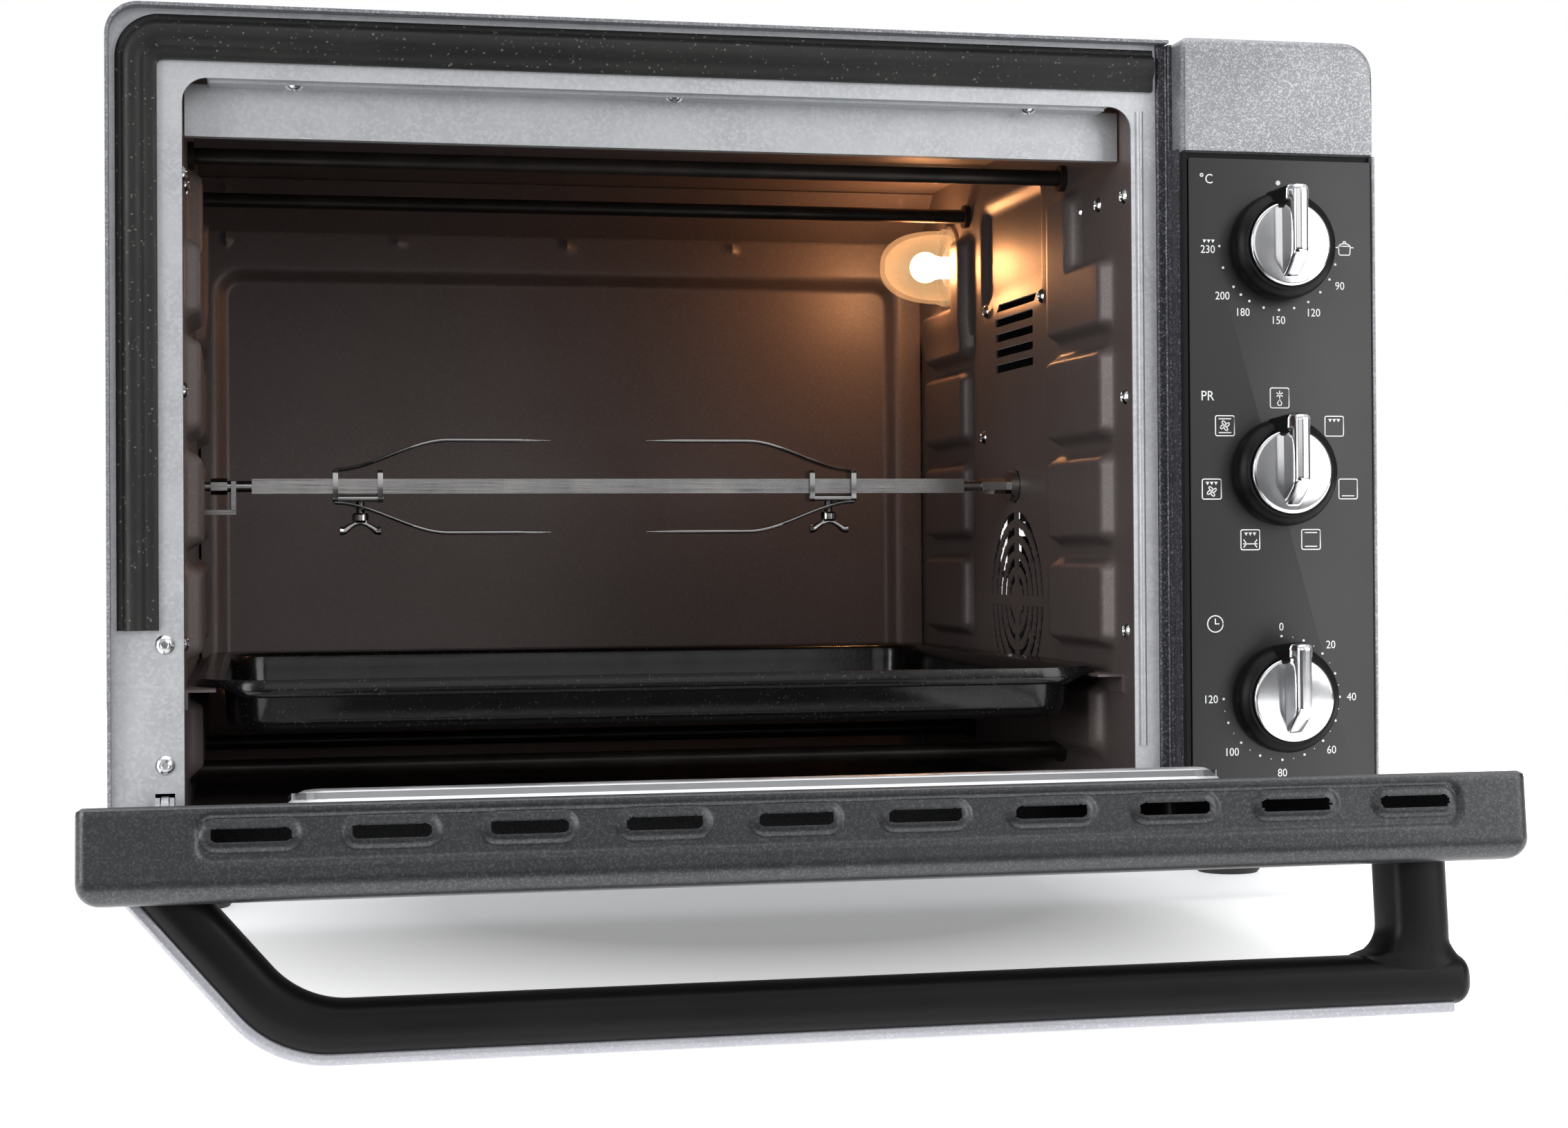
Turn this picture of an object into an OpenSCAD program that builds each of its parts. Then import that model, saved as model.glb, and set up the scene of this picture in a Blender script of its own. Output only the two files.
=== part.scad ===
// Benchtop rotisserie oven: a steel cavity with a drop-down glazed door, a turning spit,
// a convection fan, a drip tray and a control console with three rotary knobs.
// Millimetres, +Z up, front faces -Y, console on the +X side. The door stands open.

/* [Body] */
// Overall width of the case
body_w = 485.5; // [460:0.5:520]
// Overall height above the worktop
body_h = 336.5; // [320:0.5:350]
// Case depth behind the cavity mouth
body_d = 366; // [355:1:390]
// Thickness of the painted outer sheet
shell_t = 1.2; // [0.8:0.1:2]
// Radius of the case's upper corners
corner_r = 12; // [6:0.5:18]
// Height of the rubber feet
foot_h = 18; // [10:1:25]

/* [Cavity] */
// Left edge of the cavity mouth
cav_l = 26.8; // [24:0.1:30]
// Right edge of the cavity mouth
cav_r = 389.6; // [380:0.1:392]
// Height of the cavity floor
cav_floor = 36.5; // [32:0.5:42]
// Height of the upper edge of the mouth
mouth_top = 310.7; // [300:0.1:312]
// Height of the cavity ceiling
cav_top = 318.2; // [314:0.1:322]
// Distance from the mouth to the back wall
cav_d = 328; // [315:1:335]
// Corner radius of the mouth
mouth_r = 9; // [4:0.5:14]
// Height of the stamped pads on the side walls
pad_h = 2; // [1:0.1:3]

/* [Console] */
// Left side of the control console
con_l = 405.3; // [400:0.1:410]
// How far the console stands in front of the mouth
con_y = 15.4; // [8:0.1:20]
// Lower edge of the silver console cap
cap_z = 291.5; // [280:0.5:300]
// Knob column position
knob_x = 444.9; // [435:0.1:455]
// Height of the middle knob
knob_z = 166.7; // [150:0.1:180]
// Spacing between knobs
knob_pitch = 88.3; // [80:0.1:92]
// Radius of the knob skirt
knob_r = 21; // [16:0.5:24]
// Radius of the bright knob cap
knob_cap_r = 16; // [12:0.5:19]

/* [Door] */
// Left side of the door
door_l = 8.3; // [5:0.1:12]
// Right side of the door
door_r = 403.4; // [398:0.1:404]
// Lower edge of the closed door
door_z0 = 46.5; // [46.4:0.1:50]
// Upper edge of the closed door
door_z1 = 332.3; // [326:0.1:334]
// Door thickness
door_t = 23; // [18:0.5:28]
// Gap from the mouth plane to the closed door
door_gap = 6; // [5.8:0.1:8]
// How far the door stands open, in degrees
door_open = 84; // [0:1:84]
// Number of vent slots in the door's upper edge
slot_count = 10; // [6:1:12]

/* [Handle] */
// Height of the handle bar
handle_h = 20; // [14:1:26]
// How far the bar stands out from the door
handle_out = 41.8; // [35:0.2:55]

/* [Spit] */
// Spit axis, distance behind the mouth
spit_y = 159; // [140:1:180]
// Spit axis height
spit_z = 166; // [150:1:180]
// Width across the square spit rod
rod_w = 6.4; // [5:0.1:8]
// Distance from the spit axis to a fork prong
prong_out = 20; // [14:1:26]

/* [Tray] */
// Height of the tray rim
tray_z = 90.4; // [88:0.1:95]
// Depth of the tray
tray_depth = 20; // [14:0.5:21]
// Corner radius of the tray rim
tray_r = 18; // [8:1:26]

/* [Heating, fan and lamp] */
// Radius of the heating tubes
tube_r = 3.3; // [2.5:0.1:4.5]
// Radius of the fan grille
grille_r = 38; // [30:1:42]
// Radius of the fan blades
fan_r = 32; // [24:1:34]
// Fan and grille centre height
fan_z = 114.2; // [105:0.1:120]
// Lamp centre height
lamp_z = 277; // [265:1:285]
// Radius of the lamp cover
lamp_r = 19; // [14:0.5:22]

/* [Hidden] */
$fn = 48;
// lengthwise centre of the whole part with its door down
mid_y = 41.5;
// hinge line of the door
hinge_y = -2.5;
hinge_z = 46.1;
// hinge stations left and right
hinge_xs = [20, 395.2];
// planes of the closed door: inner face and outer face
door_in = -door_gap;
door_out = -door_gap - door_t;
// console height positions of the three knobs, from the top down
knob_zs = [knob_z + knob_pitch, knob_z, knob_z - knob_pitch];
// painted steel, bright steel, dark plastic and other colours
c_paint = [0.42, 0.42, 0.45];
c_steel = [0.72, 0.72, 0.74];
c_brown = [0.30, 0.22, 0.18];
c_black = [0.05, 0.05, 0.06];
c_silver = [0.66, 0.66, 0.69];
c_chrome = [0.9, 0.9, 0.92];
c_rubber = [0.09, 0.09, 0.09];

// puts a piece drawn from the case's left front corner into the part's own frame
module own() { translate([-body_w / 2, -mid_y, 0]) children(); }

// swings a piece drawn with the door shut to where the open door holds it
module ajar() {
  own() translate([0, hinge_y, hinge_z]) rotate([door_open, 0, 0])
    translate([0, -hinge_y, -hinge_z]) children();
}

// box between two corners
module bx(a, b) { translate(a) cube([b[0] - a[0], b[1] - a[1], b[2] - a[2]]); }

// flat rounded rectangle between two corners
module rr(a, b, r) {
  translate([a[0] + r, a[1]]) square([b[0] - a[0] - 2 * r, b[1] - a[1]]);
  translate([a[0], a[1] + r]) square([b[0] - a[0], b[1] - a[1] - 2 * r]);
  for (x = [a[0] + r, b[0] - r], y = [a[1] + r, b[1] - r]) translate([x, y]) circle(r);
}

// flat arch: square lower corners, rounded upper corners
module arch(x0, x1, z0, z1, rl, rr) {
  translate([x0, z0]) square([x1 - x0, z1 - z0 - max(rl, rr)]);
  translate([x0 + rl, z0]) square([x1 - x0 - rl - rr, z1 - z0]);
  translate([x0, z0]) square([rl, z1 - z0 - rl]);
  translate([x1 - rr, z0]) square([rr, z1 - z0 - rr]);
  translate([x0 + rl, z1 - rl]) circle(rl);
  translate([x1 - rr, z1 - rr]) circle(rr);
}

// stands a flat X-Z outline up and gives it depth from y0 back to y1
module deep(y0, y1) { translate([0, y1, 0]) rotate([90, 0, 0]) linear_extrude(y1 - y0) children(); }

// runs a flat Y-Z outline along X from x0 to x1
module along(x0, x1) {
  translate([x0, 0, 0]) rotate([90, 0, 90]) linear_extrude(x1 - x0) children();
}

// round bar along X, along Y and along Z
module xcyl(x0, x1, y, z, r, n = 48) {
  translate([x0, y, z]) rotate([0, 90, 0]) cylinder(h = x1 - x0, r = r, $fn = n);
}
module ycyl(y0, y1, x, z, r, n = 48) {
  translate([x, y1, z]) rotate([90, 0, 0]) cylinder(h = y1 - y0, r = r, $fn = n);
}

// ---------------------------------------------------------------- case

module outer_shell() {
  color(c_paint) own() {
    difference() {
      deep(-6, body_d) arch(0, body_w, foot_h, body_h, corner_r, corner_r);
      deep(-7, body_d + 1)
        arch(shell_t, body_w - shell_t, foot_h - 1, body_h - shell_t,
          corner_r - shell_t, corner_r - shell_t);
      bx([con_l - 2, -7, foot_h - 1], [body_w + 1, 20, body_h + 1]);
    }
  }
}

module back_cover() {
  color(c_paint) own() {
    difference() {
      deep(body_d, body_d + 1.5) arch(0, body_w, foot_h, body_h, corner_r, corner_r);
      for (i = [0 : 11], z = [90, 250])
        bx([70 + i * 14, body_d - 1, z], [74 + i * 14, body_d + 3, z + 34]);
      for (i = [0 : 5]) bx([414 + i * 10, body_d - 1, 110], [418 + i * 10, body_d + 3, 200]);
      ycyl(body_d - 1, body_d + 3, 440, 60, 8);
    }
    for (x = [60, 400]) deep(body_d + 1.5, body_d + 7) rr([x, 292], [x + 26, 312], 6);
  }
}

module base_plate() {
  color(c_steel) own() {
    difference() {
      bx([shell_t, 0, foot_h], [body_w - shell_t, body_d, foot_h + 1.2]);
      for (i = [0 : 9], y = [120, 220])
        bx([90 + i * 22, y, foot_h - 1], [94 + i * 22, y + 40, foot_h + 3]);
      for (i = [0 : 4], y = [110, 220])
        bx([416 + i * 12, y, foot_h - 1], [420 + i * 12, y + 50, foot_h + 3]);
    }
    // turned-up front lip that carries the front frame
    bx([shell_t, 1, foot_h + 1.2], [con_l - 5.5, 2.2, cav_floor - 1]);
  }
}

// one rubber foot with a chamfered tread
module foot(x, y) {
  translate([x, y, 0]) {
    cylinder(h = 2, r1 = 12.5, r2 = 14);
    translate([0, 0, 2]) cylinder(h = foot_h - 2, r1 = 14, r2 = 15.5);
  }
}

module front_feet() { color(c_rubber) own() for (x = [29.5, body_w - 29.5]) foot(x, 72); }

module rear_feet() { color(c_rubber) own() for (x = [29.5, body_w - 29.5]) foot(x, 310); }

module cord_gland() {
  color(c_black) own() {
    difference() {
      union() {
        ycyl(body_d + 1.5, body_d + 5, 440, 60, 11);
        ycyl(body_d - 4, body_d + 1.5, 440, 60, 7.9);
      }
      ycyl(body_d - 5, body_d + 6, 440, 60, 4);
    }
  }
}

// ---------------------------------------------------------------- cavity

// stamped pads of one side wall: two columns of evenly stepped rows, each as
// [nearer edge, lower edge, farther edge, upper edge] in depth and height
pad_rows = [for (i = [0 : 2]) 92.2 + 46.2 * i];
PADS = concat(
  [for (z = pad_rows) [22, z, 112.8, z + 40.4]],
  [for (z = pad_rows) [234, z + 4, 320, z + 38]],
  [[22, 60, 112.8, 78], [234, 60, 320, 78], [22, 230, 112.8, 257], [75, 257, 112.8, 289],
    [234, 228, 320, 250]]);

module cavity_front_frame() {
  color(c_steel) own() {
    difference() {
      deep(0, 1) difference() {
        union() {
          translate([shell_t, foot_h + 1.2]) square([20, body_h - foot_h - 15]);
          arch(shell_t, 398, foot_h + 1.2, body_h - shell_t, corner_r - shell_t, 0.01);
          translate([380, foot_h + 1.2]) square([con_l - 5.5 - 380, body_h - foot_h - 2.4]);
        }
        rr([cav_l, cav_floor], [cav_r, mouth_top], mouth_r);
      }
      for (x = hinge_xs) bx([x - 3.5, -1, 34], [x + 3.5, 2, 50.7]);
    }
    // stiffening bead beside the mouth
    intersection() {
      translate([393, 0, 60]) cylinder(h = 249, r = 1.55);
      bx([390, -2, 59], [396, 0, 310]);
    }
    // lip folded back along the top of the mouth
    bx([cav_l + 9, 1, mouth_top], [cav_r - 9, 14, mouth_top + 1]);
  }
}

// side wall pads standing out of the plane x0 towards the cavity, sign s
module wall_pads(x0, s) {
  for (p = PADS)
    translate([s > 0 ? x0 : x0 - pad_h, 0, 0])
      rotate([90, 0, 90]) linear_extrude(pad_h) rr([p[0], p[1]], [p[2], p[3]], 6);
}

module cavity_left_wall() {
  color(c_brown) own() {
    bx([cav_l - 1, 1, cav_floor], [cav_l, cav_d, cav_top]);
    wall_pads(cav_l, 1);
  }
}

// ring-shaped grille slots of the fan, cut by an upright web and a level web
module grille_slots(x0, x1) {
  difference() {
    for (r = [8.5 : 7 : grille_r])
      difference() {
        xcyl(x0, x1, spit_y, fan_z, r + 3.6);
        xcyl(x0 - 1, x1 + 1, spit_y, fan_z, r);
      }
    bx([x0 - 1, spit_y - 2.2, fan_z - 50], [x1 + 1, spit_y + 2.2, fan_z + 50]);
    bx([x0 - 1, spit_y - 50, fan_z - 2.2], [x1 + 1, spit_y + 50, fan_z + 2.2]);
  }
}

module cavity_right_wall() {
  color(c_brown) own() {
    difference() {
      bx([cav_r, 1, cav_floor], [cav_r + 1, cav_d, cav_top]);
      grille_slots(cav_r - 1, cav_r + 2);
      for (i = [0 : 4])
        bx([cav_r - 1, 131, 219 + i * 7.1], [cav_r + 2, 189, 222.8 + i * 7.1]);
      xcyl(cav_r - 1, cav_r + 2, spit_y, spit_z, 7.3);
      xcyl(cav_r - 1, cav_r + 2, 268.5, lamp_z, 12.2);
    }
    wall_pads(cav_r, -1);
  }
}

module cavity_back_wall() {
  color(c_brown) own() {
    deep(cav_d, cav_d + 1) difference() {
      translate([cav_l - 1, cav_floor]) square([cav_r - cav_l + 2, 259.5]);
      rr([32.7, 62], [378.7, 278], 14);
    }
    deep(cav_d + 1, cav_d + 6) difference() {
      rr([31.7, 61], [379.7, 279], 15);
      rr([32.7, 62], [378.7, 278], 14);
    }
    deep(cav_d + 6, cav_d + 7) rr([31.7, 61], [379.7, 279], 15);
    // sloping strip between the back wall and the ceiling
    along(cav_l, cav_r)
      polygon([[cav_d, 296], [cav_d + 1, 296], [cav_d + 1, 297], [301, cav_top + 1],
        [300, cav_top + 1], [300, cav_top]]);
    // stamped dimples along the upper back
    for (i = [0 : 4]) ycyl(cav_d - 1.2, cav_d, 39.3 + i * 83.7, 291.5, 2);
  }
}

module cavity_ceiling() {
  color(c_brown) own() bx([cav_l - 1, 1, cav_top], [cav_r + 1, 300, cav_top + 1]);
}

module cavity_floor() {
  color(c_brown) own() {
    difference() {
      bx([cav_l - 1, 1, cav_floor - 1], [cav_r + 1, cav_d + 1, cav_floor]);
      bx([60, 40, cav_floor - 0.5], [356, 290, cav_floor + 1]);
    }
  }
}

module door_gasket() {
  color(c_black) own() {
    deep(-3.4, 0) difference() {
      union() {
        arch(3.3, 398, 316.8, 333.1, 16, 0.01);
        translate([3.3, 109.8]) square([14.7, 207.3]);
        translate([18, 310]) square([6, 7]);
      }
      translate([24, 310.8]) circle(6);
      translate([24, 309]) square([400, 7.8]);
      translate([18.1, 300]) square([400, 10.8]);
    }
    deep(-5.6, -3.4) difference() {
      union() {
        arch(4.9, 398, 322.2, 331.5, 14.4 - 5.2, 0.01);
        translate([4.9, 109.8]) square([8.9, 213]);
      }
      translate([13.8, 100]) square([400, 222.2]);
    }
  }
}

module top_reflector() {
  color(c_steel) own() {
    bx([36.5, 4, mouth_top - 1], [380, 14, mouth_top]);
    bx([27.4, 14, 291.5], [388.7, 15, mouth_top]);
    bx([27.4, 15, 291.5], [388.7, 19, 292.5]);
  }
}

module reflector_screws() {
  color(c_chrome) own() {
    for (x = [67, 209, 349.5])
      difference() {
        union() {
          translate([x, 7.6, mouth_top - 2.2]) cylinder(h = 1.2, r = 3.4);
          translate([x, 7.6, mouth_top - 2.9]) cylinder(h = 0.7, r1 = 2.4, r2 = 3.4);
        }
        bx([x - 2, 7.2, mouth_top - 3.2], [x + 2, 8, mouth_top - 1.9]);
        bx([x - 0.4, 5.6, mouth_top - 3.2], [x + 0.4, 9.6, mouth_top - 1.9]);
      }
  }
}

module frame_rivets() {
  color(c_chrome) own() {
    for (z = [104.5, 60.9]) {
      translate([20, -0.5, z]) rotate([-90, 0, 0]) cylinder(h = 0.5, r = 3.6);
      translate([20, -1.3, z]) rotate([-90, 0, 0]) cylinder(h = 0.8, r1 = 2.2, r2 = 3.6);
    }
  }
}

// places of the wall screws, as [depth, height]
SCREWS = [[9, 277], [9, 197.4], [9, 104.7], [64.6, 278], [40.4, 277.6], [118.2, 248.2],
  [204.4, 249.4], [209.4, 190.2]];

module wall_screws() {
  color(c_chrome) own() {
    for (s = SCREWS) {
      xcyl(cav_l, cav_l + 0.9, s[0], s[1], 3.1);
      translate([cav_l + 0.9, s[0], s[1]]) rotate([0, 90, 0]) cylinder(h = 0.8, r1 = 3.1, r2 = 2);
      xcyl(cav_r - 0.9, cav_r, s[0], s[1], 3.1);
      translate([cav_r - 1.7, s[0], s[1]]) rotate([0, 90, 0]) cylinder(h = 0.8, r1 = 2, r2 = 3.1);
    }
  }
}

// ---------------------------------------------------------------- heating and lamp

// straight sheathed heating tube with a collar at each end wall
module element(y, z) {
  xcyl(cav_l + 2.5, cav_r - 2.5, y, z, tube_r);
  xcyl(cav_l, cav_l + 2.5, y, z, 5.6);
  xcyl(cav_r - 2.5, cav_r, y, z, 5.6);
}

module upper_element_front() { color(c_black) own() element(85.4, 295); }

module upper_element_rear() { color(c_black) own() element(234.5, 298); }

module lower_element_front() { color(c_black) own() element(91.7, 52); }

module lower_element_rear() { color(c_black) own() element(235, 52); }

module lamp_socket() {
  color(c_silver) own() {
    difference() {
      union() {
        xcyl(cav_r - 1.6, cav_r, 268.5, lamp_z, lamp_r + 1.6);
        xcyl(cav_r, cav_r + 20, 268.5, lamp_z, 12);
      }
      xcyl(cav_r - 2, cav_r + 14, 268.5, lamp_z, 9.1);
    }
  }
}

module lamp_bulb() {
  color([1, 0.9, 0.7]) own()
    translate([cav_r + 14, 268.5, lamp_z]) rotate([0, -90, 0]) rotate_extrude()
      polygon(concat([[0, 0], [6.5, 0], [6.5, 23]],
        [for (i = [0 : 9]) [9.6 * cos(i * 13.5 - 31.5), 29.6 + 9.6 * sin(i * 13.5 - 31.5)]],
        [[0, 39.2]]));
}

module lamp_cover() {
  color([0.9, 0.95, 1, 0.4]) own() {
    translate([cav_r - 1.6, 268.5, lamp_z]) rotate([0, -90, 0])
      difference() {
        rotate_extrude()
          polygon(concat([[0, 0], [lamp_r, 0]],
            [for (i = [0 : 12]) [lamp_r * cos(i * 7.5), 4 + 29.5 * sin(i * 7.5)]]));
        translate([0, 0, -1]) rotate_extrude()
          polygon(concat([[0, 0], [lamp_r - 1.8, 0]],
            [for (i = [0 : 12]) [(lamp_r - 1.8) * cos(i * 7.5), 5 + 27.7 * sin(i * 7.5)]]));
      }
  }
}

// ---------------------------------------------------------------- spit

module spit_support() {
  color(c_chrome) own() {
    bx([cav_l, 149, 150], [cav_l + 1.5, 169, 176]);
    bx([cav_l + 1.5, 156, 154], [44.5, 162, 156]);
    difference() {
      bx([42.5, 151.5, 156], [44.5, 166.5, 168]);
      xcyl(41, 46, spit_y, spit_z, 2.6);
      bx([41, spit_y - 2.6, spit_z], [46, spit_y + 2.6, spit_z + 5]);
    }
  }
}

// the spit axis lies at the drive socket's depth at the right and rests level
module spit_rod() {
  color(c_chrome) own() {
    xcyl(30.6, 34, spit_y, spit_z, 2);
    xcyl(34, 40.9, spit_y, spit_z, 3.5, 6);
    xcyl(40.9, 51, spit_y, spit_z, 2.4);
    bx([51, spit_y - rod_w / 2, spit_z - rod_w / 2], [364.5, spit_y + rod_w / 2, spit_z + rod_w / 2]);
    xcyl(364.5, 373, spit_y, spit_z, 2.4);
    xcyl(373, 394, spit_y, spit_z, 3.5, 6);
  }
}

module drive_socket() {
  color(c_steel) own() {
    difference() {
      union() {
        xcyl(385.8, 396, spit_y, spit_z, 7);
        xcyl(396, 408, spit_y, spit_z, 3);
      }
      xcyl(385, 395, spit_y, spit_z, 3.75, 6);
    }
  }
}

module spit_motor() {
  color(c_steel) own() {
    difference() {
      bx([398, 138, 150], [424, 180, 186]);
      xcyl(397, 409, spit_y, spit_z, 3.05);
    }
    for (y = [142, 176]) xcyl(cav_r + 1, 398, y, 182, 2.5);
  }
}

// two-pronged fork: a hub on the rod, a cross plate and two prongs; s points the prongs
module fork(x, s) {
  translate([x, spit_y, spit_z]) {
    difference() {
      union() {
        bx([-11.7, -5.2, -6.7], [11.7, 5.2, 6.7]);
        bx([s > 0 ? 8.2 : -11.7, -5.2, -prong_out - 3], [s > 0 ? 11.7 : -8.2, 5.2, prong_out + 3]);
      }
      bx([-13, -3.5, -3.5], [13, 3.5, 3.5]);
      bx([-7.5, -6, 4.6], [7.5, 6, 8]);
      translate([0, 0, -8]) cylinder(h = 6, r = 2.05);
    }
    for (k = [-1, 1])
      translate([s * 11.7, 0, k * prong_out]) rotate([0, s * 90, 0]) {
        cylinder(h = 62, r = 1.7);
        translate([0, 0, 62]) cylinder(h = 8, r1 = 1.7, r2 = 0.3);
      }
  }
}

// wing screw that clamps a fork to the rod
module clamp_screw(x) {
  translate([x, spit_y, spit_z]) {
    translate([0, 0, -12]) cylinder(h = 8.2, r = 2);
    translate([0, 0, -15]) cylinder(h = 3, r = 3.6);
    bx([-8, -1, -21], [8, 1, -15]);
  }
}

module spit_fork_left() { color(c_chrome) own() fork(96.5, 1); }

module spit_fork_right() { color(c_chrome) own() fork(302.5, -1); }

module fork_screw_left() { color(c_chrome) own() clamp_screw(96.5); }

module fork_screw_right() { color(c_chrome) own() clamp_screw(302.5); }

// ---------------------------------------------------------------- tray

module tray_guides() {
  color(c_steel) own() {
    bx([cav_l, 12.5, 80], [cav_l + 1, 322, 87.4]);
    bx([cav_l + 1, 12.5, 86.4], [cav_l + 11, 322, 87.4]);
    bx([cav_r - 1, 12.5, 80], [cav_r, 322, 87.4]);
    bx([cav_r - 11, 12.5, 86.4], [cav_r - 1, 322, 87.4]);
  }
}

module drip_tray() {
  color(c_black) own() {
    z0 = tray_z - tray_depth;
    translate([0, 0, tray_z - 1.4]) linear_extrude(1.4) difference() {
      rr([30.2, 14], [386.2, 312], tray_r);
      rr([41.4, 25.2], [375, 300.8], tray_r - 8);
    }
    translate([0, 0, tray_z - 2.6]) linear_extrude(1.2) difference() {
      rr([30.2, 14], [386.2, 312], tray_r);
      rr([31.4, 15.2], [385, 310.8], tray_r - 1.2);
    }
    translate([0, 0, z0]) linear_extrude(tray_depth - 1.4) difference() {
      rr([40.2, 24], [376.2, 302], tray_r - 6.8);
      rr([41.4, 25.2], [375, 300.8], tray_r - 8);
    }
    translate([0, 0, z0]) linear_extrude(1.2) rr([41, 24.8], [375.4, 301.2], tray_r - 7.6);
  }
}

// ---------------------------------------------------------------- fan

module fan_motor() {
  color(c_steel) own() {
    difference() {
      union() {
        xcyl(403, 404.5, spit_y, fan_z, 36);
        xcyl(404.5, 432, spit_y, fan_z, 21);
        for (a = [20, 160, 270])
          xcyl(cav_r + 1, 403, spit_y + 34 * cos(a), fan_z + 34 * sin(a), 1.6);
      }
      xcyl(402, 412, spit_y, fan_z, 2.05);
      bx([402, 134, 149.5], [434, 184, 152]);
    }
  }
}

module fan_blade() {
  color(c_steel) own() {
    xcyl(394, 400, spit_y, fan_z, 6);
    xcyl(400, 411, spit_y, fan_z, 2);
    for (a = [0 : 60 : 300])
      translate([397, spit_y, fan_z]) rotate([a, 0, 0]) rotate([0, 0, 28])
        translate([-0.5, 0, 4]) bx([0, -6, 0], [1, 6, fan_r - 7]);
  }
}

// ---------------------------------------------------------------- console

module console_cap() {
  color(c_silver) own() {
    difference() {
      intersection() {
        deep(-con_y, 20) union() {
          arch(con_l, body_w, cap_z, body_h, 3.5, corner_r);
          translate([body_w - shell_t, foot_h]) square([shell_t, 300 - foot_h]);
        }
        along(con_l - 1, body_w + 1) union() {
          translate([-con_y, foot_h]) square([36, body_h - foot_h - 4]);
          translate([-con_y + 4, foot_h]) square([32, body_h - foot_h]);
          translate([-con_y + 4, body_h - 4]) circle(4);
        }
      }
      bx([con_l + 2, -con_y + 2, cap_z - 1], [body_w - 2, 21, body_h - 14]);
    }
  }
}

module console_column() {
  color(c_black) own() {
    bx([399.8, -1.5, foot_h + 1.2], [403.6, 20, body_h - shell_t]);
    bx([403.6, -4, foot_h + 1.2], [con_l, 20, body_h - shell_t]);
    bx([con_l - 1, -con_y + 4, foot_h], [con_l, -4, cap_z + 3]);
  }
}

module console_chassis() {
  color(c_black) own() {
    difference() {
      union() {
        bx([con_l, -con_y, foot_h], [con_l + 1.6, -0.5, cap_z]);
        bx([con_l, -0.5, foot_h + 1.2], [con_l + 1.6, 20, cap_z]);
        bx([con_l + 1.6, -con_y + 3, foot_h + 1.6], [body_w - shell_t, -con_y + 5, cap_z]);
        bx([con_l + 1.6, -con_y, foot_h], [body_w - shell_t, -0.5, foot_h + 1.6]);
      }
      for (z = knob_zs) ycyl(-con_y + 2, -con_y + 6, knob_x, z, 5.2);
    }
  }
}

module control_fascia() {
  color(c_black) own() {
    difference() {
      bx([con_l + 2.4, -con_y + 0.6, foot_h + 1.6], [body_w - shell_t - 0.4, -con_y + 3, cap_z - 2.2]);
      for (z = knob_zs) ycyl(-con_y, -con_y + 4, knob_x, z, 5.2);
    }
  }
}

// body of a rotary control behind the console, with a bore for the knob's spindle
module control(z, w, h, d) {
  difference() {
    bx([knob_x - w / 2, -con_y + 5, z - h / 2], [knob_x + w / 2, -con_y + 5 + d, z + h / 2]);
    ycyl(-con_y + 4, -con_y + 21, knob_x, z, 3.05);
  }
}

module thermostat() { color(c_steel) own() control(knob_zs[0], 38, 38, 24); }

module function_switch() { color(c_steel) own() control(knob_zs[1], 44, 44, 28); }

module timer() { color(c_steel) own() control(knob_zs[2], 46, 56, 34); }

// dark knob skirt with its spindle and the lug that backs the grip bar's pointer end
module knob_base(z) {
  ycyl(-25.4, -16.2, knob_x, z, knob_r);
  bx([knob_x - 3.3, -34, z + 16.1], [knob_x + 3.3, -25.4, z + knob_r + 0.6]);
  ycyl(-16.2, 4, knob_x, z, 3);
}

// bright knob face with the raised grip bar, chamfered at its lower end
module knob_cap(z) {
  ycyl(-27.4, -25.4, knob_x, z, knob_cap_r);
  translate([0, 0, z]) along(knob_x - 3.3, knob_x + 3.3)
    polygon([[-27.4, -13], [-38.2, -6], [-38.2, knob_r + 1], [-34, knob_r + 1],
      [-34, 15.2], [-27.4, 15.2]]);
}

module thermostat_knob_base() { color(c_black) own() knob_base(knob_zs[0]); }

module thermostat_knob_cap() { color(c_chrome) own() knob_cap(knob_zs[0]); }

module function_knob_base() { color(c_black) own() knob_base(knob_zs[1]); }

module function_knob_cap() { color(c_chrome) own() knob_cap(knob_zs[1]); }

module timer_knob_base() { color(c_black) own() knob_base(knob_zs[2]); }

module timer_knob_cap() { color(c_chrome) own() knob_cap(knob_zs[2]); }

// ---------------------------------------------------------------- hinges

// fixed ear that reaches out through the front frame to carry the hinge pin
module hinge_bracket(x) {
  difference() {
    union() {
      xcyl(x - 1.3, x + 1.3, hinge_y, hinge_z, 3.4);
      bx([x - 1.3, hinge_y, hinge_z - 3.4], [x + 1.3, 26, hinge_z + 3.4]);
      bx([x - 1.3, 2.6, foot_h + 1.2], [x + 1.3, 26, hinge_z - 3.4]);
    }
    xcyl(x - 2, x + 2, hinge_y, hinge_z, 1.55);
  }
}

module hinge_bracket_left() { color(c_steel) own() hinge_bracket(hinge_xs[0]); }

module hinge_bracket_right() { color(c_steel) own() hinge_bracket(hinge_xs[1]); }

// pair of door ears with the pin riveted through them, drawn with the door shut
module hinge_knuckle(x) {
  for (s = [-1, 1])
    translate([x + s * 2.5, 0, 0]) {
      xcyl(-0.8, 0.8, hinge_y, hinge_z, 3.3);
      bx([-0.8, door_in, hinge_z + 0.5], [0.8, hinge_y + 3.3, hinge_z + 3.2]);
      bx([-0.8, door_in, hinge_z + 3.2], [0.8, door_in + 3, hinge_z + 14]);
    }
  xcyl(x - 3.3, x + 3.3, hinge_y, hinge_z, 1.5);
}

module hinge_knuckle_left() { color(c_steel) ajar() hinge_knuckle(hinge_xs[0]); }

module hinge_knuckle_right() { color(c_steel) ajar() hinge_knuckle(hinge_xs[1]); }

// ---------------------------------------------------------------- door, drawn shut

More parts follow.
